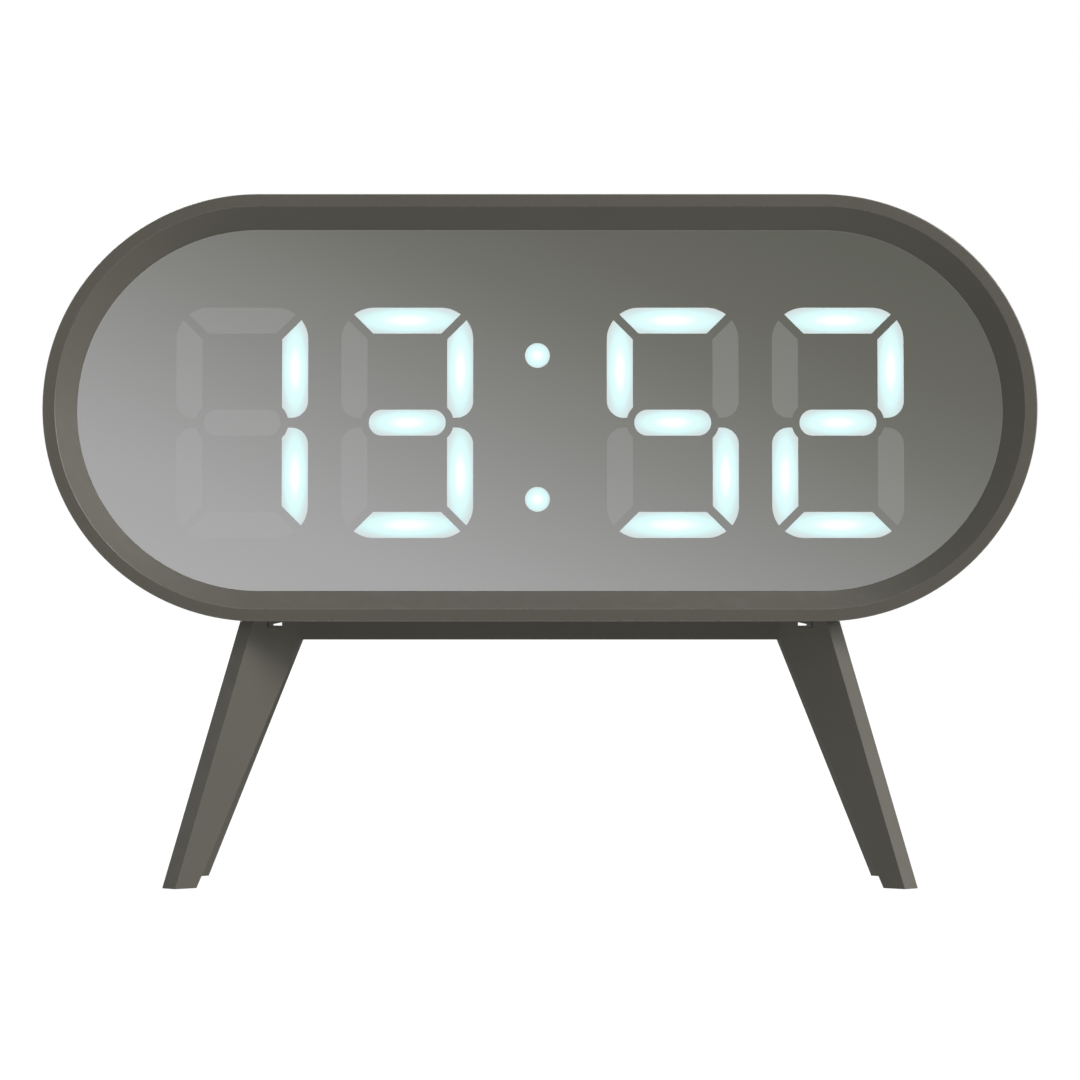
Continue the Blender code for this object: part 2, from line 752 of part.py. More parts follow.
def main_board(mat):
    width = MAIN_BOARD_X[1] - MAIN_BOARD_X[0]
    middle = (MAIN_BOARD_X[1] + MAIN_BOARD_X[0]) / 2
    outlines = [rounded(middle, 0.0, width, 2 * MAIN_BOARD_HALF_Z, 3.0 * MM)]
    for x, z in BOARD_SCREWS:
        outlines.append(circle(x, z, HOLE_R))
    obj = piece("main_board", plate("main_board", outlines, MAIN_BOARD), mat)
    bm = bmesh.new()
    front = (MAIN_BOARD[0] - 1.4 * MM, MAIN_BOARD[0] + 0.4 * MM)
    back = (MAIN_BOARD[1] - 0.4 * MM, MAIN_BOARD[1] + 1.8 * MM)
    add_box(bm, (50.0 * MM, 60.0 * MM), front, (4.0 * MM, 14.0 * MM))
    add_box(bm, (6.0 * MM, 12.0 * MM), front, (-4.0 * MM, 1.0 * MM))
    add_box(bm, (-6.0 * MM, 0.0 * MM), back, (2.0 * MM, 10.0 * MM))
    add_box(bm, (38.0 * MM, 46.0 * MM), back, (-14.0 * MM, -9.0 * MM))
    add_rod(bm, 12.0 * MM, -14.0 * MM, (back[0], back[1] + 3.0 * MM), 2.5 * MM)
    join_to(obj, mesh_from(bm, "main_board_chips"))
    return obj


def display_cable(mat):
    """A flat ribbon between the two boards, bent in an S."""
    line = [(14.0, 19.8), (9.0, 20.0), (3.0, 21.8), (-2.0, 24.6), (-7.0, 26.2), (-12.0, 26.35)]
    path = smooth_path([(0.0, d * MM, z * MM) for z, d in line], 3)
    half = 0.25 * MM
    bm = bmesh.new()
    loops = []
    for i, place in enumerate(path):
        before = path[max(i - 1, 0)]
        after = path[min(i + 1, len(path) - 1)]
        along = (after - before).normalized()
        across = Vector((0.0, along.z, -along.y)) * half
        corners = []
        for x, side in ((30.0, -1), (38.0, -1), (38.0, 1), (30.0, 1)):
            corners.append(bm.verts.new(Vector((x * MM, 0.0, 0.0)) + place + side * across))
        loops.append(corners)
    for first, second in zip(loops, loops[1:]):
        for i in range(4):
            j = (i + 1) % 4
            bm.faces.new((first[i], first[j], second[j], second[i]))
    bm.faces.new(loops[0])
    bm.faces.new(loops[-1])
    return piece("display_cable", mesh_from(bm, "display_cable"), mat)


def buzzer(mat):
    bm = bmesh.new()
    add_rod(bm, BUZZER_X, BUZZER_Z, (MAIN_BOARD[1] + GAP, 35.4 * MM), 6.0 * MM, 24)
    obj = piece("buzzer", mesh_from(bm, "buzzer"), mat)
    bm = bmesh.new()
    add_rod(bm, BUZZER_X, BUZZER_Z, (33.0 * MM, 36.0 * MM), 1.2 * MM, 12)
    cut_from(obj, mesh_from(bm, "buzzer_sound_hole"))
    return obj


def power_socket(mat):
    outline = rounded(SOCKET_X, SOCKET_Z, 9.0 * MM, 3.3 * MM, 1.64 * MM)
    depth = (MAIN_BOARD[1] + GAP, 39.7 * MM)
    obj = piece("power_socket", plate("power_socket", [outline], depth), mat)
    well = rounded(SOCKET_X, SOCKET_Z, 8.4 * MM, 2.7 * MM, 1.34 * MM)
    cut_from(obj, plate("power_socket_well", [well], (33.5 * MM, 41.0 * MM)))
    bm = bmesh.new()
    x = (SOCKET_X - 3.3 * MM, SOCKET_X + 3.3 * MM)
    z = (SOCKET_Z - 0.35 * MM, SOCKET_Z + 0.35 * MM)
    add_box(bm, x, (33.0 * MM, 38.6 * MM), z)
    join_to(obj, mesh_from(bm, "power_socket_tongue"))
    return obj


def key_switch(number, x, mat):
    depth = (MAIN_BOARD[1] + GAP, 32.4 * MM)
    bm = bmesh.new()
    add_box(bm, (x - 3.0 * MM, x + 3.0 * MM), depth, (KEY_Z - 3.0 * MM, KEY_Z + 3.0 * MM))
    name = "key_switch_%d" % number
    obj = piece(name, mesh_from(bm, name), mat)
    bm = bmesh.new()
    add_rod(bm, x, KEY_Z, (30.2 * MM, 33.5 * MM), 1.9 * MM)
    cut_from(obj, mesh_from(bm, name + "_well"))
    return obj


def switch_plunger(number, x, mat):
    name = "switch_plunger_%d" % number
    bm = bmesh.new()
    add_rod(bm, x, KEY_Z, (31.1 * MM, 34.4 * MM), 1.6 * MM)
    return piece(name, mesh_from(bm, name), mat, (x, 34.4 * MM, KEY_Z))


def key_cap(number, x, mat):
    name = "key_cap_%d" % number
    cap = plate(name, [rounded(x, KEY_Z, KEY_W, KEY_H, 1.5 * MM)], (37.2 * MM, 40.8 * MM))
    obj = piece(name, cap, mat, (x, 40.8 * MM, KEY_Z))
    flange = rounded(x, KEY_Z, KEY_W + 2.0 * MM, KEY_H + 2.0 * MM, 1.5 * MM, 2)
    join_to(obj, plate(name + "_flange", [flange], (36.4 * MM, 37.6 * MM)))
    bm = bmesh.new()
    add_rod(bm, x, KEY_Z, (34.7 * MM, 36.8 * MM), 2.0 * MM)
    join_to(obj, mesh_from(bm, name + "_stem"))
    return obj


def slide_switch_body(mat):
    middle = SLIDER_X + SLIDER_TRAVEL / 2
    bm = bmesh.new()
    depth = (MAIN_BOARD[1] + GAP, 32.6 * MM)
    add_box(bm, (middle - 5.0 * MM, middle + 5.0 * MM), depth, (KEY_Z - 2.2 * MM, KEY_Z + 2.2 * MM))
    obj = piece("slide_switch_body", mesh_from(bm, "slide_switch_body"), mat)
    reach = 1.0 * MM + SLIDER_TRAVEL / 2 + GAP
    bm = bmesh.new()
    well = (30.4 * MM, 33.6 * MM)
    add_box(bm, (middle - reach, middle + reach), well, (KEY_Z - 1.1 * MM, KEY_Z + 1.1 * MM))
    cut_from(obj, mesh_from(bm, "slide_switch_body_well"))
    return obj


def slide_switch_lever(mat):
    bm = bmesh.new()
    x = (SLIDER_X - 1.0 * MM, SLIDER_X + 1.0 * MM)
    add_box(bm, x, (30.8 * MM, 36.0 * MM), (KEY_Z - 0.8 * MM, KEY_Z + 0.8 * MM))
    mesh = mesh_from(bm, "slide_switch_lever")
    return piece("slide_switch_lever", mesh, mat, (SLIDER_X, 36.0 * MM, KEY_Z))


def alarm_slider(mat):
    flange = plate("alarm_slider", [rounded(SLIDER_X, KEY_Z, 15.0 * MM, 7.0 * MM, 1.0 * MM, 2)],
                   (36.4 * MM, 37.6 * MM))
    obj = piece("alarm_slider", flange, mat, (SLIDER_X, 41.0 * MM, KEY_Z))
    thumb = rounded(SLIDER_X, KEY_Z, 4.0 * MM, 3.0 * MM, 0.6 * MM, 3)
    join_to(obj, plate("alarm_slider_thumb", [thumb], (37.2 * MM, 41.0 * MM)))
    bm = bmesh.new()
    for sign in (-1, 1):
        near = SLIDER_X + sign * 1.3 * MM
        far = SLIDER_X + sign * 2.5 * MM
        prong_x = (min(near, far), max(near, far))
        add_box(bm, prong_x, (34.0 * MM, 36.8 * MM), (KEY_Z - 1.2 * MM, KEY_Z + 1.2 * MM))
    join_to(obj, mesh_from(bm, "alarm_slider_prongs"))
    return obj


# ---------------------------------------------------------------- batteries

def cell_end(direction):
    """X of the button tip of a cell whose button points left (+1) or right (-1)."""
    left = BAY_X[0] + 1.8 * MM
    return left if direction > 0 else BAY_X[0] + BAY_X[1] - left


def battery_cell(number, z, direction, mat):
    tip = CELL_LENGTH
    shoulder = CELL_LENGTH - 1.0 * MM
    profile = [(0.0, tip), (1.7 * MM, tip), (1.9 * MM, tip - 0.2 * MM), (1.9 * MM, shoulder)]
    profile += [(4.7 * MM, shoulder), (CELL_R, shoulder - 0.6 * MM), (CELL_R, 0.5 * MM)]
    profile += [(4.8 * MM, 0.0), (0.0, 0.0)]
    name = "battery_cell_%d" % number
    mesh = turned(name, profile)
    mesh.transform(Matrix.Translation((0.0, 0.0, -CELL_LENGTH)))
    mesh.transform(Matrix.Rotation(math.radians(-90 * direction), 4, "Y"))
    mesh.transform(Matrix.Translation((cell_end(direction), CELL_DEPTH, z)))
    return piece(name, mesh, mat)


def spring_path(plate_x, z, sign):
    """A cone of wire that leaves the contact plate towards the cell."""
    turns = 3
    steps = 12
    length = 5.2 * MM
    points = []
    for step in range(turns * steps + 1):
        share = step / (turns * steps)
        angle = 2 * math.pi * step / steps
        radius = (3.6 - 1.5 * share) * MM
        x = plate_x + sign * length * share
        points.append((x, CELL_DEPTH + radius * math.cos(angle), z + radius * math.sin(angle)))
    return points


def contact_plate(name, mat, side, z_range, springs, dimples, tab_z):
    """A sheet contact at one end of the bay. Side is -1 for the left end, +1 for the right."""
    wall = BAY_X[0] if side < 0 else BAY_X[1]
    near = wall - side * 0.3 * MM
    far = wall - side * 0.8 * MM
    x = (min(near, far), max(near, far))
    bm = bmesh.new()
    add_box(bm, x, (28.0 * MM, 36.6 * MM), z_range)
    obj = piece(name, mesh_from(bm, name), mat)
    bm = bmesh.new()
    for z in dimples:
        turn = Matrix.Rotation(math.radians(-90 * side), 4, "Y")
        centre = Matrix.Translation((far - side * 0.1 * MM, CELL_DEPTH, z))
        bmesh.ops.create_cone(bm, cap_ends=True, segments=12, radius1=1.8 * MM, radius2=1.2 * MM,
                              depth=0.8 * MM, matrix=centre @ turn)
    if tab_z is not None:
        add_box(bm, x, (24.6 * MM, 28.4 * MM), (tab_z - 1.5 * MM, tab_z + 1.5 * MM))
    if len(bm.verts):
        join_to(obj, mesh_from(bm, name + "_dimple"))
    else:
        bm.free()
    for z in springs:
        path = spring_path((near + far) / 2, z, -side)
        join_to(obj, wire(name + "_spring", path, 0.35 * MM, 1))
    return obj


def contacts(mat):
    half = CELL_PITCH / 2
    contact_plate("contact_positive", mat, -1, (CELL_PITCH - 4.6 * MM, CELL_PITCH + 4.6 * MM),
                  [], [CELL_PITCH], CELL_PITCH)
    contact_plate("contact_bridge_right", mat, 1, (-4.6 * MM, CELL_PITCH + 4.6 * MM),
                  [CELL_PITCH], [0.0], None)
    contact_plate("contact_bridge_left", mat, -1, (-CELL_PITCH - 4.6 * MM, half - 0.8 * MM),
                  [0.0], [-CELL_PITCH], None)
    contact_plate("contact_negative", mat, 1, (-CELL_PITCH - 4.6 * MM, -CELL_PITCH + 4.6 * MM),
                  [-CELL_PITCH], [], -CELL_PITCH)


def battery_lead(name, start, middle, end, mat):
    path = smooth_path([start] + middle + [end], 4)
    return piece(name, wire(name, path, 0.6 * MM, 1), mat)


def battery_leads(red, black):
    x = BAY_X[0] + 0.55 * MM
    start = (x, 24.2 * MM, CELL_PITCH)
    middle = [(x + 1.5 * MM, 22.6 * MM, CELL_PITCH), (-60.0 * MM, 22.2 * MM, 12.0 * MM)]
    middle += [(-30.0 * MM, 22.2 * MM, 14.0 * MM), (-12.0 * MM, 22.6 * MM, 13.0 * MM)]
    end = (-4.0 * MM, 26.6 * MM, 12.0 * MM)
    battery_lead("battery_lead_red", start, middle + [(-5.5 * MM, 24.4 * MM, 12.4 * MM)], end, red)
    x = BAY_X[1] - 0.55 * MM
    start = (x, 24.2 * MM, -CELL_PITCH)
    middle = [(x + 1.0 * MM, 22.8 * MM, -CELL_PITCH), (-12.0 * MM, 22.4 * MM, -8.0 * MM)]
    middle += [(-6.5 * MM, 23.8 * MM, -5.0 * MM)]
    battery_lead("battery_lead_black", start, middle, (-4.0 * MM, 26.6 * MM, -4.0 * MM), black)


# ---------------------------------------------------------------- screws

def screw_mesh(name, length, head_r=2.2 * MM):
    """A pan head screw along +Z: head on top of the z = 0 plane, shank below."""
    profile = [(0.0, 1.5 * MM), (head_r * 0.6, 1.4 * MM), (head_r, 0.7 * MM), (head_r, 0.0)]
    profile += [(SHANK_R, 0.0), (SHANK_R, -length + 0.8 * MM), (0.3 * MM, -length), (0.0, -length)]
    solid = bpy.data.objects.new(name + "_solid", turned(name, profile, 12))
    bpy.context.scene.collection.objects.link(solid)
    cross = []
    for long_x in (True, False):
        bm = bmesh.new()
        half_x = (1.3 if long_x else 0.25) * MM
        half_y = (0.25 if long_x else 1.3) * MM
        add_box(bm, (-half_x, half_x), (-half_y, half_y), (0.6 * MM, 2.5 * MM))
        bar = bpy.data.objects.new(name + "_cross", mesh_from(bm, name + "_cross"))
        bpy.context.scene.collection.objects.link(bar)
        combine(solid, bar, "DIFFERENCE")
        cross.append(bar)
    bpy.context.view_layer.update()
    graph = bpy.context.evaluated_depsgraph_get()
    made = bpy.data.meshes.new_from_object(solid.evaluated_get(graph))
    made.name = name
    for obj in cross + [solid]:
        bpy.data.objects.remove(obj, do_unlink=True)
    return made


def screw(name, shape, matrix, mat, in_housing=True):
    mesh = shape.copy()
    mesh.transform(matrix)
    return piece(name, mesh, mat, matrix.translation, in_housing)


def all_screws(mat):
    to_back = Matrix.Rotation(math.radians(-90), 4, "X")
    to_front = Matrix.Rotation(math.radians(90), 4, "X")
    shape = screw_mesh("cover_screw", 11.0 * MM)
    for number, (x, z) in enumerate(cover_screws(), 1):
        place = Matrix.Translation((x, 33.3 * MM, z)) @ to_back
        screw("cover_screw_%d" % number, shape, place, mat)
    shape = screw_mesh("display_screw", 6.0 * MM)
    for number, (x, z) in enumerate(DISPLAY_SCREWS, 1):
        place = Matrix.Translation((x, DISPLAY_BOARD[1] + GAP, z)) @ to_back
        screw("display_screw_%d" % number, shape, place, mat)
    shape = screw_mesh("board_screw", 8.0 * MM)
    for number, (x, z) in enumerate(BOARD_SCREWS, 1):
        place = Matrix.Translation((x, MAIN_BOARD[0] - GAP, z)) @ to_front
        screw("board_screw_%d" % number, shape, place, mat)
    shape = screw_mesh("stand_screw", 10.0 * MM, 1.7 * MM)
    flip = Matrix.Rotation(math.radians(180), 4, "X")
    for number, sign in enumerate((-1, 1), 1):
        place = Matrix.Translation((sign * STAND_SCREW_X, 0.0, 54.0 * MM)) @ flip
        screw("stand_screw_%d" % number, shape, place, mat, False)


# ---------------------------------------------------------------- stand

def leg_section(z, grow=0.0):
    """Corners of the front left leg at a height, seen from above."""
    along = Vector((math.cos(LEG_PLAN_ANGLE), math.sin(LEG_PLAN_ANGLE)))
    across = Vector((-along.y, along.x))
    crease = Vector(LEG_FOOT) + Vector(LEG_LEAN) * z
    width = LEG_WIDTH_FOOT + LEG_WIDTH_GROWTH * z
    near = crease - (along + across) * grow
    wide = along * (width + 2 * grow)
    deep = across * (LEG_THICK + 2 * grow)
    return [near, near + wide, near + wide + deep, near + deep]


def add_leg(bm, sx, sy, z_range, grow=0.0):
    loops = []
    for z in z_range:
        loops.append([bm.verts.new((sx * p.x, sy * p.y, z)) for p in leg_section(z, grow)])
    for i in range(4):
        j = (i + 1) % 4
        bm.faces.new((loops[0][i], loops[0][j], loops[1][j], loops[1][i]))
    bm.faces.new(loops[0])
    bm.faces.new(loops[1])


def leg_stand(mat):
    bm = bmesh.new()
    add_box(bm, (-BAR_HALF_X, BAR_HALF_X), (-BAR_HALF_Y, BAR_HALF_Y), (BAR_BOTTOM, STAND_TOP + 2.0 * MM))
    obj = piece("leg_stand", mesh_from(bm, "leg_stand"), mat, in_housing=False)
    bm = bmesh.new()
    height = (BAR_BOTTOM + 0.4 * MM, STAND_TOP + 1.5 * MM)
    add_box(bm, (-TONGUE_HALF_X, TONGUE_HALF_X), (-TONGUE_HALF_Y, TONGUE_HALF_Y), height)
    join_to(obj, mesh_from(bm, "leg_stand_tongues"), False)
    for sy in (1, -1):
        bm = bmesh.new()
        for sx in (1, -1):
            add_leg(bm, sx, sy, (LEG_BOTTOM, STAND_TOP + 2.6 * MM + 0.4 * MM * sy))
        join_to(obj, mesh_from(bm, "leg_stand_legs"), False)
    bm = bmesh.new()
    for sign in (-1, 1):
        edges = sorted((sign * SLOT_X[0], sign * SLOT_X[1]))
        add_box(bm, edges, (-30.0 * MM, 0.0), (SLOT_FLOOR, 62.0 * MM))
        add_post(bm, sign * STAND_SCREW_X, 0.0, (50.0 * MM, 54.3 * MM), 2.0 * MM)
        for sy in (1, -1):
            add_leg(bm, sign, sy, (-1.0 * MM, PAD_THICK + 0.05 * MM), -0.5 * MM)
    cut_from(obj, mesh_from(bm, "leg_stand_slots"), False)
    for sign in (-1, 1):
        near, far = (sign * x for x in SLOT_X)
        outline = [(near, SLOT_FLOOR), (far, SLOT_FLOOR), (far, SLOT_ROOF[1]), (near, SLOT_ROOF[0])]
        cut_from(obj, plate("leg_stand_rear_slot", [outline], (1.0 * MM, 30.0 * MM)), False)
    bm = bmesh.new()
    for sign in (-1, 1):
        add_post(bm, sign * STAND_SCREW_X, 0.0, (53.5 * MM, 63.0 * MM), HOLE_R, 12)
    cut_from(obj, mesh_from(bm, "leg_stand_holes"), False)
    bm = bmesh.new()
    add_box(bm, (-90.0 * MM, 90.0 * MM), (-40.0 * MM, 40.0 * MM), (STAND_TOP, 61.0 * MM))
    cut_from(obj, mesh_from(bm, "leg_stand_top_trim"), False)
    return obj


def foot_pads(mat):
    number = 0
    for sy in (1, -1):
        for sx in (1, -1):
            number += 1
            bm = bmesh.new()
            add_leg(bm, sx, sy, (0.0, PAD_THICK), -0.75 * MM)
            name = "foot_pad_%d" % number
            piece(name, mesh_from(bm, name), mat, in_housing=False)


# ---------------------------------------------------------------- build

clear_scene()
PARTS = make_collection("desk_clock")
CUTTERS = make_collection("cutters", True)
HOUSING = link(bpy.data.objects.new("housing_frame", None), PARTS)
HOUSING.location = (0.0, FRAME_Y, FRAME_Z)
HOUSING.rotation_euler = (-LEAN, 0.0, 0.0)
HOUSING.empty_display_size = 0.02

MOSS = moss_plastic()
BLACK = black_plastic()
STEEL = bright_steel()
KEYS = key_plastic()
BOARD = board_laminate()

front_housing(MOSS)
COVER = rear_cover(MOSS)
rear_cover_latch_notch(COVER)
battery_door(MOSS)
mirror_panel(mirror_glass())
lens_tape(tape_foam())
diffuser_sheet(diffuser_film())
reflector_block(white_plastic())
display_board(BOARD)
main_board(BOARD)
display_cable(ribbon_plastic())
buzzer(BLACK)
power_socket(STEEL)
for index, key_x in enumerate(KEY_X, 1):
    key_switch(index, key_x, BLACK)
    switch_plunger(index, key_x, BLACK)
    key_cap(index, key_x, KEYS)
slide_switch_body(STEEL)
slide_switch_lever(BLACK)
alarm_slider(KEYS)
CELLS = cell_wrap()
for index, (row, way) in enumerate(cell_rows(), 1):
    battery_cell(index, row, way, CELLS)
contacts(STEEL)
battery_leads(red_sleeve(), black_sleeve())
all_screws(STEEL)
leg_stand(MOSS)
foot_pads(pad_rubber())
bpy.context.view_layer.update()
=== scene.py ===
"""Looks for the pill-shaped desk clock: fine meshes, node materials, a studio and a camera.

Most pieces are made in housing coordinates: x across, y back from the rim's face, z up, with the
origin at the rim's centre. HOUSING turns them into world coordinates. Lengths are in metres.
"""
import math

import bmesh
import bpy
from mathutils import Matrix, Vector


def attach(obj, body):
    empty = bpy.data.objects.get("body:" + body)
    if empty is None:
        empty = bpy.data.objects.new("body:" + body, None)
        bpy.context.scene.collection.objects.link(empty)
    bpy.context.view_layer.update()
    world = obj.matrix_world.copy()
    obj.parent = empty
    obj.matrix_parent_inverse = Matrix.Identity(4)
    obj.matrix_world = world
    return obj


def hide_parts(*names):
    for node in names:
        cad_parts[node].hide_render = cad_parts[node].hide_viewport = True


MM = 0.001
ROOT = "clock"
WHITE_LIGHT = (1.0, 1.0, 1.0)

# The housing: how it stands, its outline, and its depths back from the rim's face.
LEAN = math.radians(4.5)
DRAFT = math.tan(LEAN)
HOUSING_Y = -19.93 * MM
HOUSING_Z = 101.76 * MM
RIM_RADIUS = 45.5 * MM
HALF_FLAT = 59.9 * MM
WALL = 2.0 * MM
SPLIT = 30.0 * MM
SEAM = 0.3 * MM
BACK = 40.0 * MM
PILOT_R = 1.3 * MM
SQUARE_ON = 0.99  # a face whose unit normal points this far to the front counts as flat

# The recess that holds the mirror, as (inset, depth) from the rim's edge and face.
RECESS_INSET = 6.85 * MM
RECESS_FLOOR = 9.3 * MM
GLASS_INSET = 6.9 * MM
GLASS_FRONT = 6.3 * MM
GLASS_BACK = 8.3 * MM
WINDOW_DEPTH = (8.33 * MM, 8.39 * MM)
MASK_INSET = 6.95 * MM
MASK_DEPTH = (8.42 * MM, 8.57 * MM)

# The digits, in the plane of the mirror.
DIGIT_X = (-63.5 * MM, -28.3 * MM, 28.3 * MM, 63.5 * MM)
DIGIT_Z = -2.5 * MM
DIGITS_LIT = ("BC", "ABGCD", "AFGCD", "ABGED")
HALF_W = 14.05 * MM
HALF_H = 24.65 * MM
SEGMENT = 5.55 * MM
SEGMENT_GAP = 1.77 * MM
WAIST_GAP = 2.1 * MM
CORNER_R = 6.9 * MM
WAIST_R = 3.6 * MM
BAR_HALF = 8.2 * MM
BAR_R = 2.775 * MM
BAR_CLEAR_R = 4.45 * MM
GLOW_WIDE = 11.28 * MM
GLOW_TALL = 10.27 * MM
SIDE_CENTRE = 11.32 * MM
COLON_X = -0.55 * MM
COLON_Z = DIGIT_Z - 1.0 * MM
COLON_R = 2.65 * MM
COLON_HALF_PITCH = 15.4 * MM

# The back: keys and slider, sound holes, board posts and the battery bay with its door.
KEY_X = (12.0 * MM, 25.0 * MM, 38.0 * MM, 51.0 * MM)
KEY_Z = 8.0 * MM
FLANGE_DEPTH = (36.4 * MM, 37.6 * MM)
STEP_DEPTH = 37.601 * MM
SLIDER_X = 68.0 * MM
SLIDER_SLOT_X = 69.75 * MM
SOCKET_X = 27.0 * MM
SOUND_X = 60.0 * MM
LOW_ROW_Z = -11.0 * MM
BOARD_POSTS = ((2.0 * MM, -10.0 * MM), (77.5 * MM, -10.0 * MM))
HINGE_X = -72.2 * MM
DOOR_END_X = -17.0 * MM
DOOR_HALF_Z = 19.0 * MM
DISH_X = -24.0 * MM

# Light. The reflection of the room runs along REFLECTION from REFLECTION_LOW to REFLECTION_HIGH.
SKY = 0.05
SHEEN = 1.2
FLOOR_BOUNCE = 0.56
FLOOR_SHEEN = 0.5
FLOOR_GREY = 0.12
SPILL = 0.4
MIRROR_TINT = 0.97
MIRROR_SHARE = 0.5
GLOW_STRENGTH = 2.04
FILM_DIMS = 0.22
LIGHT_DISTANCE = 3.0
LIGHT_SIZE = 1.2
LIGHT_AIM_Z = 80.0 * MM
LIGHTS = (
    ("key", (0.85, -0.35, 0.28), 30.5), ("fill", (0.52, -0.66, 0.62), 38.0),
    ("top", (-0.05, -0.35, 1.0), 5.0), ("rear", (-0.35, 0.9, 0.45), 40.0),
)
REFLECTION_LOW = -1.0
REFLECTION_HIGH = 5.0
REFLECTION = (
    (REFLECTION_LOW, (0.115, 0.117, 0.098)), (0.2, (0.135, 0.136, 0.117)),
    (1.0, (0.167, 0.168, 0.149)), (2.1, (0.233, 0.235, 0.222)), (3.1, (0.303, 0.303, 0.299)),
    (4.1, (0.372, 0.372, 0.372)), (REFLECTION_HIGH, (0.405, 0.405, 0.405)),
)
LIT_REACH = 1.5
LIT_STOPS = (
    (0.26, (1.0, 1.0, 1.0)), (0.44, (0.84, 0.99, 0.99)), (0.56, (0.755, 0.99, 0.99)),
    (0.75, (0.723, 0.97, 0.97)), (0.95, (0.68, 0.83, 0.84)), (1.15, (0.66, 0.73, 0.73)),
)
CAMERA_Y = -1.2235
CAMERA_Z = 0.0736
CAMERA_LENS = 189.5

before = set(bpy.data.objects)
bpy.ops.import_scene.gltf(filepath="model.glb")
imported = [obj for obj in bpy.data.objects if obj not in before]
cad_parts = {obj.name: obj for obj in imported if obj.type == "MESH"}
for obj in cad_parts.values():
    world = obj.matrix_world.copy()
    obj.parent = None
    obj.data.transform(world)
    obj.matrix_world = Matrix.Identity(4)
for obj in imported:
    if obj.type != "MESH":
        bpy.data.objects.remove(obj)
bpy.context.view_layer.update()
HOUSING = Matrix.Translation((0.0, HOUSING_Y, HOUSING_Z)) @ Matrix.Rotation(-LEAN, 4, "X")
TO_HOUSING = HOUSING.inverted()


# ---------------------------------------------------------------- mesh helpers

def finish_mesh(bm, name):
    bmesh.ops.recalc_face_normals(bm, faces=bm.faces[:])
    mesh = bpy.data.meshes.new(name)
    bm.to_mesh(mesh)
    bm.free()
    return mesh


def add_piece(name, mesh, mats, body=ROOT, angle=32):
    """A finished piece from a mesh in housing coordinates, smooth but for edges past the angle."""
    mesh.transform(HOUSING)
    for mat in mats:
        mesh.materials.append(mat)
    obj = bpy.data.objects.new(name, mesh)
    bpy.context.scene.collection.objects.link(obj)
    mesh.polygons.foreach_set("use_smooth", [True] * len(mesh.polygons))
    mesh.set_sharp_from_angle(angle=math.radians(angle))
    weight = obj.modifiers.new("normals", "WEIGHTED_NORMAL")
    weight.keep_sharp = True
    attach(obj, body)
    return obj


def boolean(mesh, other, operation):
    """The EXACT Boolean of two meshes, as a new mesh."""
    first = bpy.data.objects.new("first", mesh)
    second = bpy.data.objects.new("second", other)
    for obj in (first, second):
        bpy.context.scene.collection.objects.link(obj)
    modifier = first.modifiers.new("cut", "BOOLEAN")
    modifier.operation = operation
    modifier.solver = "EXACT"
    modifier.object = second
    bpy.context.view_layer.update()
    graph = bpy.context.evaluated_depsgraph_get()
    made = bpy.data.meshes.new_from_object(first.evaluated_get(graph))
    for obj in (first, second):
        bpy.data.objects.remove(obj, do_unlink=True)
    bpy.data.meshes.remove(mesh)
    bpy.data.meshes.remove(other)
    return made


def merged(meshes):
    bm = bmesh.new()
    for mesh in meshes:
        bm.from_mesh(mesh)
        bpy.data.meshes.remove(mesh)
    made = bpy.data.meshes.new("merged")
    bm.to_mesh(made)
    bm.free()
    return made


def box(bm, x, y, z):
    size = Matrix.Diagonal((x[1] - x[0], y[1] - y[0], z[1] - z[0], 1.0))
    centre = Matrix.Translation(((x[0] + x[1]) / 2, (y[0] + y[1]) / 2, (z[0] + z[1]) / 2))
    bmesh.ops.create_cube(bm, size=1.0, matrix=centre @ size)


def rod(bm, x, z, depth, radius, steps=48, tip=None):
    """A cylinder along the depth axis; tip is its radius at the far end."""
    turn = Matrix.Rotation(math.radians(-90), 4, "X")
    centre = Matrix.Translation((x, (depth[0] + depth[1]) / 2, z))
    tip = radius if tip is None else tip
    bmesh.ops.create_cone(bm, cap_ends=True, segments=steps, radius1=radius, radius2=tip,
                          depth=depth[1] - depth[0], matrix=centre @ turn)


def post(bm, x, y, z, radius, steps=32):
    centre = Matrix.Translation((x, y, (z[0] + z[1]) / 2))
    bmesh.ops.create_cone(bm, cap_ends=True, segments=steps, radius1=radius, radius2=radius,
                          depth=z[1] - z[0], matrix=centre)


def skin(name, loops, ring=False):
    """Loops of points of equal length, joined in turn. A ring closes on itself, else it is capped."""
    bm = bmesh.new()
    loops = [[bm.verts.new(point) for point in loop] for loop in loops]
    pairs = list(zip(loops, loops[1:]))
    if ring:
        pairs.append((loops[-1], loops[0]))
    for first, second in pairs:
        for i in range(len(first)):
            j = (i + 1) % len(first)
            bm.faces.new((first[i], first[j], second[j], second[i]))
    if not ring:
        bm.faces.new(loops[0])
        bm.faces.new(loops[-1])
    return finish_mesh(bm, name)


def stacked(name, layers):
    """A solid through flat outlines at different depths: (outline, depth)."""
    return skin(name, [[(x, depth, z) for x, z in outline] for outline, depth in layers])


def stadium(inset, steps=80):
    radius = RIM_RADIUS - inset
    points = []
    for side, start in ((1, -math.pi / 2), (-1, math.pi / 2)):
        for step in range(steps + 1):
            angle = start + math.pi * step / steps
            points.append((side * HALF_FLAT + radius * math.cos(angle), radius * math.sin(angle)))
    return points


def loft(name, profile, ring=False):
    """A solid through stadium outlines: (inset, depth)."""
    return skin(name, [[(x, depth, z) for x, z in stadium(inset)] for inset, depth in profile], ring)


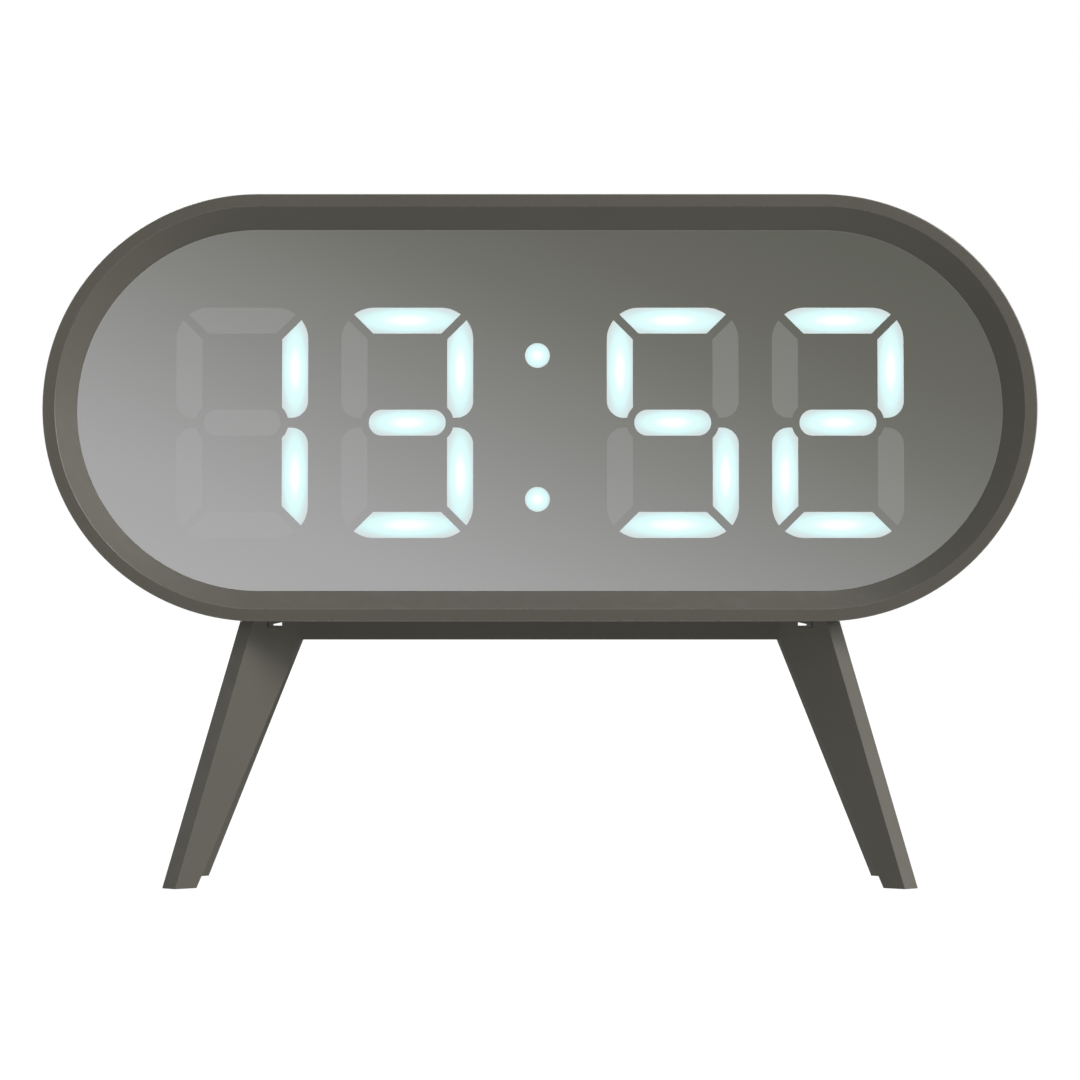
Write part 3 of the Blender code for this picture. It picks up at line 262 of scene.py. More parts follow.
def rounded_corners(corners, steps=4):
    """(a, b, radius) corners of a closed outline, each radius drawn as an arc."""
    points = []
    count = len(corners)
    for i, (a, b, radius) in enumerate(corners):
        here = Vector((a, b))
        if radius <= 0:
            points.append((a, b))
            continue
        back = (Vector(corners[i - 1][:2]) - here).normalized()
        ahead = (Vector(corners[(i + 1) % count][:2]) - here).normalized()
        half = math.acos(max(-1.0, min(1.0, back.dot(ahead)))) / 2
        reach = radius / math.tan(half)
        start = here + back * reach
        end = here + ahead * reach
        centre = here + (back + ahead).normalized() * (radius / math.sin(half))
        for step in range(steps + 1):
            spoke = (start - centre).slerp(end - centre, step / steps)
            points.append(tuple(centre + spoke * radius))
    return points


def rounded(cx, cz, width, height, radius, steps=8):
    points = []
    for quarter, (sx, sz) in enumerate(((1, 1), (-1, 1), (-1, -1), (1, -1))):
        for step in range(steps + 1):
            angle = math.pi / 2 * (quarter + step / steps)
            x = cx + sx * (width / 2 - radius) + radius * math.cos(angle)
            z = cz + sz * (height / 2 - radius) + radius * math.sin(angle)
            points.append((x, z))
    return points


def arc(cx, cz, radius, start, end, steps=12):
    points = []
    for step in range(steps + 1):
        angle = math.radians(start + (end - start) * step / steps)
        points.append((cx + radius * math.cos(angle), cz + radius * math.sin(angle)))
    return points


# ---------------------------------------------------------------- materials

class Nodes:
    """A short way to write the node tree of a material or a world."""

    def __init__(self, owner, output="ShaderNodeOutputMaterial"):
        owner.use_nodes = True
        self.owner = owner
        self.tree = owner.node_tree
        self.tree.nodes.clear()
        self.out = self.add(output)

    def add(self, kind, **values):
        node = self.tree.nodes.new(kind)
        for key, value in values.items():
            setattr(node, key, value)
        return node

    def put(self, value, socket):
        """Feeds a socket from another socket, a colour or a number."""
        if hasattr(value, "is_linked"):
            self.tree.links.new(value, socket)
        elif isinstance(value, tuple):
            socket.default_value = (*value, 1.0)
        else:
            socket.default_value = value

    def surface(self, socket):
        self.put(socket, self.out.inputs["Surface"])
        return self.owner

    def coords(self, output="Object"):
        return self.add("ShaderNodeTexCoord").outputs[output]

    def geometry(self, output):
        return self.add("ShaderNodeNewGeometry").outputs[output]

    def ray(self, kind):
        return self.add("ShaderNodeLightPath").outputs["Is %s Ray" % kind]

    def parts(self, vector):
        node = self.add("ShaderNodeSeparateXYZ")
        self.put(vector, node.inputs[0])
        return node.outputs

    def noise(self, scale, detail=4.0, roughness=0.55):
        node = self.add("ShaderNodeTexNoise")
        self.put(scale, node.inputs["Scale"])
        self.put(detail, node.inputs["Detail"])
        self.put(roughness, node.inputs["Roughness"])
        self.put(self.coords(), node.inputs["Vector"])
        return node.outputs["Fac"]

    def ramp(self, value, low, high, from_low=0.0, from_high=1.0):
        node = self.add("ShaderNodeMapRange")
        self.put(from_low, node.inputs["From Min"])
        self.put(from_high, node.inputs["From Max"])
        self.put(low, node.inputs["To Min"])
        self.put(high, node.inputs["To Max"])
        self.put(value, node.inputs["Value"])
        return node.outputs["Result"]

    def colour_ramp(self, value, stops, low, high, scale=1.0):
        """A colour for a value from low to high, with stops given as (value, linear colour)."""
        node = self.add("ShaderNodeValToRGB")
        elements = node.color_ramp.elements
        for number, (place, colour) in enumerate(stops):
            position = (place - low) / (high - low)
            element = elements[number] if number < 2 else elements.new(position)
            element.position = position
            element.color = (*[c * scale for c in colour], 1.0)
        self.put(self.ramp(value, 0.0, 1.0, low, high), node.inputs[0])
        return node.outputs[0]

    def mix(self, share, first, second, blend="MIX"):
        node = self.add("ShaderNodeMix", data_type="RGBA", blend_type=blend)
        self.put(share, node.inputs["Factor"])
        self.put(first, node.inputs[6])
        self.put(second, node.inputs[7])
        return node.outputs[2]

    def math(self, operation, first, second=0.0):
        node = self.add("ShaderNodeMath", operation=operation)
        self.put(first, node.inputs[0])
        self.put(second, node.inputs[1])
        return node.outputs[0]

    def plane(self, vector, across, up, level):
        """A value that is level at the origin and grows by across along X and by up along Z."""
        part = self.parts(vector)
        slope = self.math("ADD", self.math("MULTIPLY", part["X"], across),
                          self.math("MULTIPLY", part["Z"], up))
        return self.math("ADD", slope, level)

    def bump(self, height, distance, strength, normal=None):
        node = self.add("ShaderNodeBump")
        self.put(distance, node.inputs["Distance"])
        self.put(strength, node.inputs["Strength"])
        self.put(height, node.inputs["Height"])
        if normal is not None:
            self.put(normal, node.inputs["Normal"])
        return node.outputs["Normal"]

    def principled(self, colour, roughness, normal, metallic=0.0, specular=0.5):
        node = self.add("ShaderNodeBsdfPrincipled")
        self.put(colour, node.inputs["Base Color"])
        self.put(roughness, node.inputs["Roughness"])
        self.put(metallic, node.inputs["Metallic"])
        self.put(specular, node.inputs["Specular IOR Level"])
        self.put(normal, node.inputs["Normal"])
        return node.outputs[0]

    def emission(self, colour, strength):
        node = self.add("ShaderNodeEmission")
        self.put(colour, node.inputs["Color"])
        self.put(strength, node.inputs["Strength"])
        return node.outputs[0]

    def clear(self, colour=WHITE_LIGHT):
        node = self.add("ShaderNodeBsdfTransparent")
        self.put(colour, node.inputs["Color"])
        return node.outputs[0]

    def both(self, first, second):
        node = self.add("ShaderNodeAddShader")
        self.put(first, node.inputs[0])
        self.put(second, node.inputs[1])
        return node.outputs[0]

    def either(self, share, first, second):
        node = self.add("ShaderNodeMixShader")
        self.put(share, node.inputs[0])
        self.put(first, node.inputs[1])
        self.put(second, node.inputs[2])
        return node.outputs[0]


def material(name):
    return Nodes(bpy.data.materials.new(name))


def scaled(colour, factor):
    return tuple(min(1.0, c * factor) for c in colour)


def plastic(name, colour, roughness, specular=0.4):
    """Moulded plastic: fine grain, slow colour drift, a painted highlight along edges and painted
    shade in crevices.
    """
    n = material(name)
    drift = n.ramp(n.noise(18.0, 2.0), 0.0, 1.0, 0.35, 0.65)
    base = n.mix(drift, scaled(colour, 0.95), scaled(colour, 1.05))
    specks = n.ramp(n.noise(2880.0, 2.0), 0.0, 0.35, 0.35, 0.7)
    base = n.mix(specks, base, scaled(colour, 0.92))
    # Painted highlight: the colour turns paler along edges, where the bevel normal leaves the face
    # normal.
    soft = n.add("ShaderNodeBevel", samples=4)
    n.put(0.4 * MM, soft.inputs["Radius"])
    facing = n.add("ShaderNodeVectorMath", operation="DOT_PRODUCT")
    n.put(soft.outputs["Normal"], facing.inputs[0])
    n.put(n.geometry("Normal"), facing.inputs[1])
    edge = n.ramp(facing.outputs["Value"], 0.10, 0.0, 0.90, 0.995)
    base = n.mix(edge, base, scaled(colour, 1.9))
    # Painted shade: the colour darkens towards black in crevices, from ambient occlusion.
    crevice = n.add("ShaderNodeAmbientOcclusion", only_local=True, samples=6)
    n.put(3.5 * MM, crevice.inputs["Distance"])
    painted_shade = n.ramp(crevice.outputs["AO"], 0.95, 0.0, 0.18, 0.5)
    base = n.mix(painted_shade, base, (0.0, 0.0, 0.0))
    rough = n.ramp(n.noise(260.0, 3.0), roughness - 0.04, roughness + 0.05, 0.3, 0.7)
    fine = n.bump(n.noise(9000.0, 3.0), 0.012 * MM, 0.35)
    relief = n.bump(n.noise(1400.0, 2.0), 0.018 * MM, 0.18, fine)
    return n.surface(n.principled(base, rough, relief, specular=specular))


def steel(name):
    n = material(name)
    streak = n.noise(900.0, 5.0)
    colour = (0.62, 0.61, 0.58)
    base = n.mix(n.ramp(streak, 0.0, 1.0, 0.3, 0.7), scaled(colour, 0.85), colour)
    rough = n.ramp(streak, 0.22, 0.42, 0.3, 0.7)
    return n.surface(n.principled(base, rough, n.bump(streak, 0.01 * MM, 0.3), metallic=1.0))


def laminate(name):
    """Circuit board: green mask over tracks that run square across it."""
    n = material(name)
    turn = n.add("ShaderNodeMapping")
    turn.inputs["Rotation"].default_value = (math.radians(90), 0.0, 0.0)
    n.put(n.coords(), turn.inputs["Vector"])
    brick = n.add("ShaderNodeTexBrick")
    n.put(260.0, brick.inputs["Scale"])
    n.put(0.08, brick.inputs["Mortar Size"])
    n.put((0.012, 0.10, 0.045), brick.inputs["Color1"])
    n.put((0.016, 0.13, 0.06), brick.inputs["Color2"])
    n.put((0.03, 0.22, 0.10), brick.inputs["Mortar"])
    n.put(turn.outputs["Vector"], brick.inputs["Vector"])
    rough = n.ramp(n.noise(300.0), 0.3, 0.45)
    relief = n.bump(brick.outputs["Fac"], 0.02 * MM, 0.4)
    return n.surface(n.principled(brick.outputs["Color"], rough, relief))


def ribbon(name):
    """Flat cable: fine grey conductors side by side."""
    n = material(name)
    wave = n.add("ShaderNodeTexWave", bands_direction="X")
    n.put(160.0, wave.inputs["Scale"])
    n.put(n.coords(), wave.inputs["Vector"])
    bands = wave.outputs["Fac"]
    base = n.mix(bands, (0.30, 0.31, 0.33), (0.52, 0.53, 0.55))
    return n.surface(n.principled(base, 0.45, n.bump(bands, 0.1 * MM, 0.6)))


def cell_wrap(name):
    """A dark blue sleeve, with bare metal on the ends, which face along X."""
    n = material(name)
    fine = n.noise(700.0, 3.0)
    base = n.mix(n.ramp(fine, 0.0, 1.0, 0.3, 0.7), (0.02, 0.06, 0.14), (0.03, 0.08, 0.18))
    along = n.math("ABSOLUTE", n.parts(n.geometry("Normal"))["X"])
    end = n.ramp(along, 0.0, 1.0, 0.85, 0.9)
    base = n.mix(end, base, (0.6, 0.6, 0.58))
    return n.surface(n.principled(base, 0.28, n.bump(fine, 0.01 * MM, 0.2), metallic=end))


def matte(name, noise, spread, dark, light, roughness, relief, specular=0.5):
    """A dull black stuff, such as rubber, foam or ink. The relief is (distance, strength)."""
    n = material(name)
    grain = n.noise(*noise)
    base = n.mix(n.ramp(grain, 0.0, 1.0, *spread), (dark,) * 3, (light,) * 3)
    return n.surface(n.principled(base, roughness, n.bump(grain, *relief), specular=specular))


def mirror_front(name):
    """The half-silvered face: about half of the light reflects and half goes through.

    The surround gets the light that the face throws on it as emission, which is free of noise.
    """
    n = material(name)
    glossy = n.add("ShaderNodeBsdfGlossy")
    n.put((MIRROR_TINT,) * 3, glossy.inputs["Color"])
    n.put(n.ramp(n.noise(500.0, 3.0), 0.018, 0.032, 0.3, 0.7), glossy.inputs["Roughness"])
    half = n.either(MIRROR_SHARE, n.clear(), glossy.outputs[0])
    spill = n.emission(WHITE_LIGHT, n.math("MULTIPLY", n.ray("Diffuse"), SPILL))
    return n.surface(n.both(half, spill))


def mirror_back(name):
    n = material(name)
    return n.surface(n.clear((0.98, 0.99, 0.985)))


def less_reflection(n, colour, share):
    """The colour less the room's reflection, which the mirror adds again in front of it.

    The reflection is dark at the mirror's upper right and paler at its lower left.
    """
    across = -18.05
    up = -46.93
    before_camera = 3.323
    level = n.plane(n.geometry("Position"), across, up, before_camera - up * CAMERA_Z)
    room = n.colour_ramp(level, REFLECTION, REFLECTION_LOW, REFLECTION_HIGH)
    return n.mix(share, colour, room, "SUBTRACT")


def glow(n, colour):
    """Emission seen by the camera only, so the small bright areas add no noise elsewhere."""
    strength = n.math("MULTIPLY", n.ray("Camera"), GLOW_STRENGTH)
    return n.surface(n.emission(colour, strength))


def lit_window(name):
    """A lit segment: a white oval core that falls off to pale cyan and then to grey."""
    n = material(name)
    length = n.add("ShaderNodeVectorMath", operation="LENGTH")
    n.put(n.add("ShaderNodeUVMap", uv_map="glow").outputs["UV"], length.inputs[0])
    colour = n.colour_ramp(length.outputs["Value"], LIT_STOPS, 0.0, LIT_REACH)
    return glow(n, less_reflection(n, colour, 1.0))


def unlit_window(name):
    """An unlit segment: a faint painted glow stands for the little light that the film behind it
    scatters, and the film dims the reflection.
    """
    n = material(name)
    colour = n.mix(n.noise(900.0, 2.0), (0.0975,) * 3, (0.1015,) * 3)
    return glow(n, less_reflection(n, colour, FILM_DIMS))


MOSS_COLOUR = (0.118, 0.111, 0.089)
MOSS = plastic("moss_plastic", MOSS_COLOUR, 0.5)
LIP = plastic("moss_lip", MOSS_COLOUR, 0.28, specular=0.8)
KEY_PLASTIC = plastic("key_plastic", (0.075, 0.071, 0.058), 0.42)
WHITE = plastic("white_plastic", (0.80, 0.80, 0.78), 0.4)
BLACK = plastic("black_plastic", (0.015, 0.015, 0.015), 0.45)
FILM = plastic("diffuser_film", (0.70, 0.72, 0.72), 0.5)
RED = plastic("red_sleeve", (0.40, 0.02, 0.015), 0.4)
SLEEVE = plastic("black_sleeve", (0.02, 0.02, 0.02), 0.4)
STEEL = steel("bright_steel")
BOARD = laminate("board_laminate")
RIBBON = ribbon("ribbon_plastic")
CELL = cell_wrap("cell_wrap")
PAD = matte("pad_rubber", (4000.0,), (0.3, 0.7), 0.012, 0.03, 0.85, (0.04 * MM, 0.6))
FOAM = matte("tape_foam", (2500.0, 5.0, 0.7), (0.3, 0.7), 0.008, 0.03, 0.95, (0.1 * MM, 0.8))
INK = matte("mask_black", (3000.0, 3.0), (0.0, 1.0), 0.002, 0.004, 0.9, (0.01 * MM, 0.3), 0.1)


# ---------------------------------------------------------------- mirror and digits

def build_mirror():
    chamfer = 0.1 * MM
    profile = [(GLASS_INSET, GLASS_FRONT), (GLASS_INSET, GLASS_BACK - chamfer)]
    profile.append((GLASS_INSET + chamfer, GLASS_BACK))
    mesh = loft("mirror_glass", profile)
    mats = [mirror_front("mirror_front"), mirror_back("mirror_back")]
    obj = add_piece("mirror_glass", mesh, mats, angle=10)
    front = HOUSING.to_3x3() @ Vector((0.0, -1.0, 0.0))
    for face in obj.data.polygons:
        face.material_index = 0 if face.normal.dot(front) > SQUARE_ON else 1
    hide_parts("mirror_panel")


def top_segment():
    cx = -HALF_W + CORNER_R
    cz = HALF_H - CORNER_R
    cut = math.degrees(math.asin(SEGMENT_GAP / 2 / CORNER_R))
    left = arc(cx, cz, CORNER_R, 135 - cut, 90)
    inner_x = cx + SEGMENT_GAP / 2 * math.sqrt(2) - (CORNER_R - SEGMENT)
    inner_z = HALF_H - SEGMENT
    return [(inner_x, inner_z)] + left + [(-x, z) for x, z in reversed(left)] + [(-inner_x, inner_z)]


def side_segment():
    cx = -HALF_W + CORNER_R
    cz = HALF_H - CORNER_R
    cut = math.degrees(math.asin(SEGMENT_GAP / 2 / CORNER_R))
    outer = arc(cx, cz, CORNER_R, 135 + cut, 180)
    low = WAIST_GAP / 2
    waist = arc(-HALF_W + WAIST_R, low + WAIST_R, WAIST_R, 180, 270)
    centre = -(BAR_HALF - BAR_R)
    inner_x = -HALF_W + SEGMENT
    first = math.degrees(math.asin(low / BAR_CLEAR_R))
    last = math.degrees(math.acos((centre - inner_x) / BAR_CLEAR_R))
    clear = arc(centre, 0.0, BAR_CLEAR_R, 180 - first, 180 - last)
    inner_z = cz - SEGMENT_GAP / 2 * math.sqrt(2) + (CORNER_R - SEGMENT)
    return outer + waist + clear + [(inner_x, inner_z)]


def middle_segment():
    centre = BAR_HALF - BAR_R
    return arc(centre, 0.0, BAR_R, -90, 90, 20) + arc(-centre, 0.0, BAR_R, 90, 270, 20)


def flip_x(outline):
    return [(-x, z) for x, z in reversed(outline)]


def flip_z(outline):
    return [(x, -z) for x, z in reversed(outline)]


def digit_segments():
    """(letter, outline, centre, half length and half width of the glow, lies flat)."""
    top = top_segment()
    side = side_segment()
    x = HALF_W - SEGMENT / 2
    z = HALF_H - SEGMENT / 2
    half = SEGMENT / 2
    return (
        ("A", top, (0.0, z), GLOW_WIDE, half, True),
        ("D", flip_z(top), (0.0, -z), GLOW_WIDE, half, True),
        ("F", side, (-x, SIDE_CENTRE), GLOW_TALL, half, False),
        ("B", flip_x(side), (x, SIDE_CENTRE), GLOW_TALL, half, False),
        ("E", flip_z(side), (-x, -SIDE_CENTRE), GLOW_TALL, half, False),
        ("C", flip_x(flip_z(side)), (x, -SIDE_CENTRE), GLOW_TALL, half, False),
        ("G", middle_segment(), (0.0, 0.0), BAR_HALF, BAR_R, True),
    )


def window_mesh(name, shapes):
    """Thin tiles with a glow map: (outline, centre, half length, half width, lies flat)."""
    bm = bmesh.new()
    uv = bm.loops.layers.uv.new("glow")
    for outline, centre, length, width, flat in shapes:
        loops = [[bm.verts.new((x, y, z)) for x, z in outline] for y in WINDOW_DEPTH]
        faces = [bm.faces.new(loop) for loop in loops]
        for i in range(len(outline)):
            j = (i + 1) % len(outline)
            faces.append(bm.faces.new((loops[0][i], loops[0][j], loops[1][j], loops[1][i])))
        for face in faces:
            for loop in face.loops:
                dx = loop.vert.co.x - centre[0]
                dz = loop.vert.co.z - centre[1]
                along, across = (dx, dz) if flat else (dz, dx)
                loop[uv].uv = (along / length, across / width)
    return finish_mesh(bm, name)


def add_windows(name, shapes, mat):
    add_piece(name, window_mesh(name, shapes), [mat])


def build_digits():
    lit = lit_window("window_lit")
    unlit = unlit_window("window_unlit")
    for number, (cx, letters) in enumerate(zip(DIGIT_X, DIGITS_LIT), 1):
        shapes = {"lit": [], "unlit": []}
        for letter, outline, (x, z), length, width, flat in digit_segments():
            moved = [(a + cx, b + DIGIT_Z) for a, b in outline]
            state = "lit" if letter in letters else "unlit"
            shapes[state].append((moved, (x + cx, z + DIGIT_Z), length, width, flat))
        add_windows("digit_%d_lit" % number, shapes["lit"], lit)
        add_windows("digit_%d_unlit" % number, shapes["unlit"], unlit)
    dots = []
    for z in (COLON_Z + COLON_HALF_PITCH, COLON_Z - COLON_HALF_PITCH):
        outline = arc(COLON_X, z, COLON_R, 0, 352.5, 47)
        dots.append((outline, (COLON_X, z), COLON_R, COLON_R, True))
    add_windows("colon_dots", dots, lit)
    mask = loft("display_mask", [(MASK_INSET, depth) for depth in MASK_DEPTH])
    add_piece("display_mask", mask, [INK])


# ---------------------------------------------------------------- housing

def corner_places(x, z):
    return [(sx * x, sz * z) for sx in (-1, 1) for sz in (-1, 1)]


def cover_screws():
    reach = RIM_RADIUS - 10.6 * MM
    bearing = math.radians(40)
    corners = corner_places(HALF_FLAT + reach * math.cos(bearing), reach * math.sin(bearing))
    return [(0.0, reach), (0.0, -reach)] + corners


def front_profile():
    """The front housing's section as (inset, depth, fillet)."""
    ledge_inset = 9.6 * MM
    ledge_back = 11.0 * MM
    hollow_inset = 4.95 * MM
    seam_inset = SPLIT * DRAFT
    return [
        (0.0, 0.0, 0.28 * MM),
        (seam_inset, SPLIT, 0.25 * MM),
        (WALL + seam_inset, SPLIT, 0.2 * MM),
        (2.19 * MM, 2.46 * MM, 0.0),
        (hollow_inset, 6.8 * MM, 0.0),
        (hollow_inset, ledge_back, 0.0),
        (ledge_inset, ledge_back, 0.2 * MM),
        (ledge_inset, RECESS_FLOOR, 0.2 * MM),
        (RECESS_INSET, RECESS_FLOOR, 0.0),
        (RECESS_INSET, 6.15 * MM, 0.08 * MM),
        (2.65 * MM, 0.0, 0.22 * MM),
    ]


def build_front():
    """The front housing: its shell, screw bosses and the two posts that the stand screws enter."""
    boss_r = 2.8 * MM
    adds = bmesh.new()
    cuts = bmesh.new()
    for x, z in cover_screws():
        rod(adds, x, z, (10.0 * MM, SPLIT), boss_r, 32)
        rod(cuts, x, z, (20.0 * MM, SPLIT + 1.0 * MM), PILOT_R, 24)
    for x, z in corner_places(40.0 * MM, 34.5 * MM):
        rod(adds, x, z, (9.8 * MM, 17.3 * MM), boss_r, 32)
        rod(cuts, x, z, (12.0 * MM, 18.3 * MM), PILOT_R, 24)
    posts = bmesh.new()
    holes = bmesh.new()
    for x in (-35.0 * MM, 35.0 * MM):
        post(posts, x, 0.0, (57.2 * MM, 68.0 * MM), 3.0 * MM)
        post(holes, x, 0.0, (50.0 * MM, 66.5 * MM), PILOT_R, 24)
    mesh = loft("front_shell", rounded_corners(front_profile()), True)
    for bm, operation, upright in ((adds, "UNION", False), (posts, "UNION", True),
                                   (cuts, "DIFFERENCE", False), (holes, "DIFFERENCE", True)):
        other = finish_mesh(bm, "other")
        if upright:
            other.transform(TO_HOUSING)
        mesh = boolean(mesh, other, operation)
    obj = add_piece("front_shell", mesh, [MOSS, LIP])
    polish_fillets(obj)
    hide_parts("front_housing")


def polish_fillets(obj):
    """Gives the glossier finish to the fillets beside the rim's flat face."""
    near = 0.3 * MM
    turn = TO_HOUSING.to_3x3()
    for face in obj.data.polygons:
        if (TO_HOUSING @ face.center).y < near and -(turn @ face.normal).y < SQUARE_ON:
            face.material_index = 1


def build_cover():
    """The rear cover: a shallow bowl with screw wells, a battery bay and openings."""
    bend = 35.0 * MM
    outer_r = BACK - bend
    centre = bend * DRAFT + outer_r
    inner_r = outer_r - WALL
    start = SPLIT + SEAM
    inner = []
    for step in range(9):
        angle = math.pi / 2 * step / 8
        inner.append((centre - inner_r * math.sin(angle), bend + inner_r * math.cos(angle)))
    inner.append((WALL + start * DRAFT, start))
    outer = [(start * DRAFT + 0.2 * MM, start)]
    outer.append((start * DRAFT + 0.06 * MM, start + 0.06 * MM))
    outer.append((start * DRAFT + 0.02 * MM, start + 0.2 * MM))
    for step in range(13):
        angle = math.pi / 2 * step / 12
        outer.append((centre - outer_r * math.cos(angle), bend + outer_r * math.sin(angle)))
    mesh = loft("back_shell", inner + outer)
    mesh = boolean(mesh, cover_adds(), "UNION")
    for cut in (cover_openings(), cover_recesses(), cover_latch_notch()):
        mesh = boolean(mesh, cut, "DIFFERENCE")
    obj = add_piece("back_shell", mesh, [MOSS])
    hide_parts("rear_cover")


def cover_adds():
    floor = 38.8 * MM
    bm = bmesh.new()
    for x, z in cover_screws():
        rod(bm, x, z, (SPLIT + SEAM, floor), 3.4 * MM, 32)
    for x, z in BOARD_POSTS:
        rod(bm, x, z, (28.9 * MM, floor), 2.6 * MM, 32)
    box(bm, (-74.5 * MM, -15.5 * MM), (25.2 * MM, floor), (-20.5 * MM, 20.5 * MM))
    return finish_mesh(bm, "cover_adds")


def cover_openings():
    """Screw wells, pilot holes, sound holes, the bay, and the keys', slider's and socket's holes."""
    through = (37.0 * MM, 41.0 * MM)
    sound_r = 0.8 * MM
    sound_ring = 3.2 * MM
    bm = bmesh.new()
    for x, z in cover_screws():
        rod(bm, x, z, (33.0 * MM, 39.7 * MM), 2.7 * MM, 40)
    for x, z in BOARD_POSTS:
        rod(bm, x, z, (27.6 * MM, 37.0 * MM), PILOT_R, 24)
    for step in range(6):
        angle = math.pi / 3 * step
        rod(bm, SOUND_X + sound_ring * math.cos(angle), LOW_ROW_Z + sound_ring * math.sin(angle),
            through, sound_r, 24)
    rod(bm, SOUND_X, LOW_ROW_Z, through, sound_r, 24)
    box(bm, (-71.5 * MM, -18.5 * MM), (26.7 * MM, through[1]), (-16.9 * MM, 16.9 * MM))
    openings = [rounded(x, KEY_Z, 10.6 * MM, 6.6 * MM, 1.8 * MM) for x in KEY_X]
    openings.append(rounded(SLIDER_SLOT_X, KEY_Z, 8.1 * MM, 3.6 * MM, 0.9 * MM))
    openings.append(rounded(SOCKET_X, LOW_ROW_Z, 9.6 * MM, 3.9 * MM, 1.94 * MM))
    parts = [finish_mesh(bm, "wells")]
    for outline in openings:
        parts.append(stacked("opening", [(outline, depth) for depth in through]))
    return merged(parts)


def cover_recesses():
    """Screw clearances and countersinks, the door's rebate and the slots of the contact plates."""
    slot = (24.0 * MM, 28.0 * MM)
    bm = bmesh.new()
    for x, z in cover_screws():
        rod(bm, x, z, (29.0 * MM, 34.0 * MM), PILOT_R, 24)
        rod(bm, x, z, (39.55 * MM, 40.1 * MM), 2.7 * MM, 40, 3.2 * MM)
    box(bm, (-73.3 * MM, -16.7 * MM), (38.1 * MM, 41.2 * MM), (-19.3 * MM, 19.3 * MM))
    box(bm, (-71.6 * MM, -70.6 * MM), slot, (9.0 * MM, 12.6 * MM))
    box(bm, (-19.4 * MM, -18.4 * MM), slot, (-12.6 * MM, -9.0 * MM))
    return finish_mesh(bm, "cover_recesses")


def cover_latch_notch():
    bm = bmesh.new()
    box(bm, (-19.5 * MM, -16.1 * MM), (33.0 * MM, 42.0 * MM), (-5.0 * MM, 5.0 * MM))
    return finish_mesh(bm, "latch_notch")


def build_door():
    """The battery door: a plate with a round hinge edge, a latch tongue and a ribbed finger dish."""
    hinge_r = 0.8 * MM
    outline = []
    for step in range(13):
        angle = math.pi / 2 + math.pi * step / 12
        x = HINGE_X + hinge_r * math.cos(angle)
        outline.append((x, BACK - hinge_r + hinge_r * math.sin(angle)))
    outline += [(DOOR_END_X, 38.4 * MM), (DOOR_END_X, 39.8 * MM)]
    outline += [(DOOR_END_X - 0.06 * MM, 39.94 * MM), (DOOR_END_X - 0.2 * MM, BACK)]
    mesh = skin("door", [[(x, y, z) for x, y in outline] for z in (-DOOR_HALF_Z, DOOR_HALF_Z)])
    tongue = bmesh.new()
    box(tongue, (-18.3 * MM, -17.1 * MM), (34.4 * MM, 38.9 * MM), (-4.0 * MM, 4.0 * MM))
    mesh = boolean(mesh, finish_mesh(tongue, "tongue"), "UNION")
    dish = bmesh.new()
    rod(dish, DISH_X, 0.0, (39.2 * MM, 41.0 * MM), 5.0 * MM, 64)
    mesh = boolean(mesh, finish_mesh(dish, "dish"), "DIFFERENCE")
    mesh = boolean(mesh, door_ribs(), "UNION")
    obj = add_piece("door_panel", mesh, [MOSS], "battery_door")
    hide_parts("battery_door")


def door_ribs():
    ring = 4.4 * MM
    pitch = 1.6 * MM
    half = 0.3 * MM
    bm = bmesh.new()
    for row in range(-2, 3):
        x = DISH_X + pitch * row
        reach = math.sqrt(ring ** 2 - (pitch * row) ** 2)
        box(bm, (x - half, x + half), (39.0 * MM, 39.75 * MM), (-reach, reach))
    return finish_mesh(bm, "ribs")


def build_keys():
    """Four keys: a flange inside the cover, a cap with a rounded edge, and a stem to the switch."""
    width = 10.0 * MM
    height = 6.0 * MM
    corner = 1.5 * MM
    flange = 2.0 * MM
    edge_start = 40.35 * MM
    for number, x in enumerate(KEY_X, 1):
        base = rounded(x, KEY_Z, width + flange, height + flange, corner)
        layers = [(base, depth) for depth in FLANGE_DEPTH]
        cap = rounded(x, KEY_Z, width, height, corner)
        layers += [(cap, STEP_DEPTH), (cap, edge_start)]
        for step in range(1, 6):
            angle = math.pi / 2 * step / 5
            inset = 0.45 * MM * (1 - math.cos(angle))
            top = rounded(x, KEY_Z, width - 2 * inset, height - 2 * inset, corner - inset)
            layers.append((top, edge_start + 0.4 * MM * math.sin(angle)))
        layers.append((rounded(x, KEY_Z, width / 2, height / 2, 0.6 * MM), 40.79 * MM))
        stem = bmesh.new()
        rod(stem, x, KEY_Z, (34.7 * MM, 36.8 * MM), 2.0 * MM, 32)
        mesh = boolean(stacked("key", layers), finish_mesh(stem, "stem"), "UNION")
        name = "key_button_%d" % number
        obj = add_piece(name, mesh, [KEY_PLASTIC], "key_%d" % number)
        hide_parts("key_cap_%d" % number)


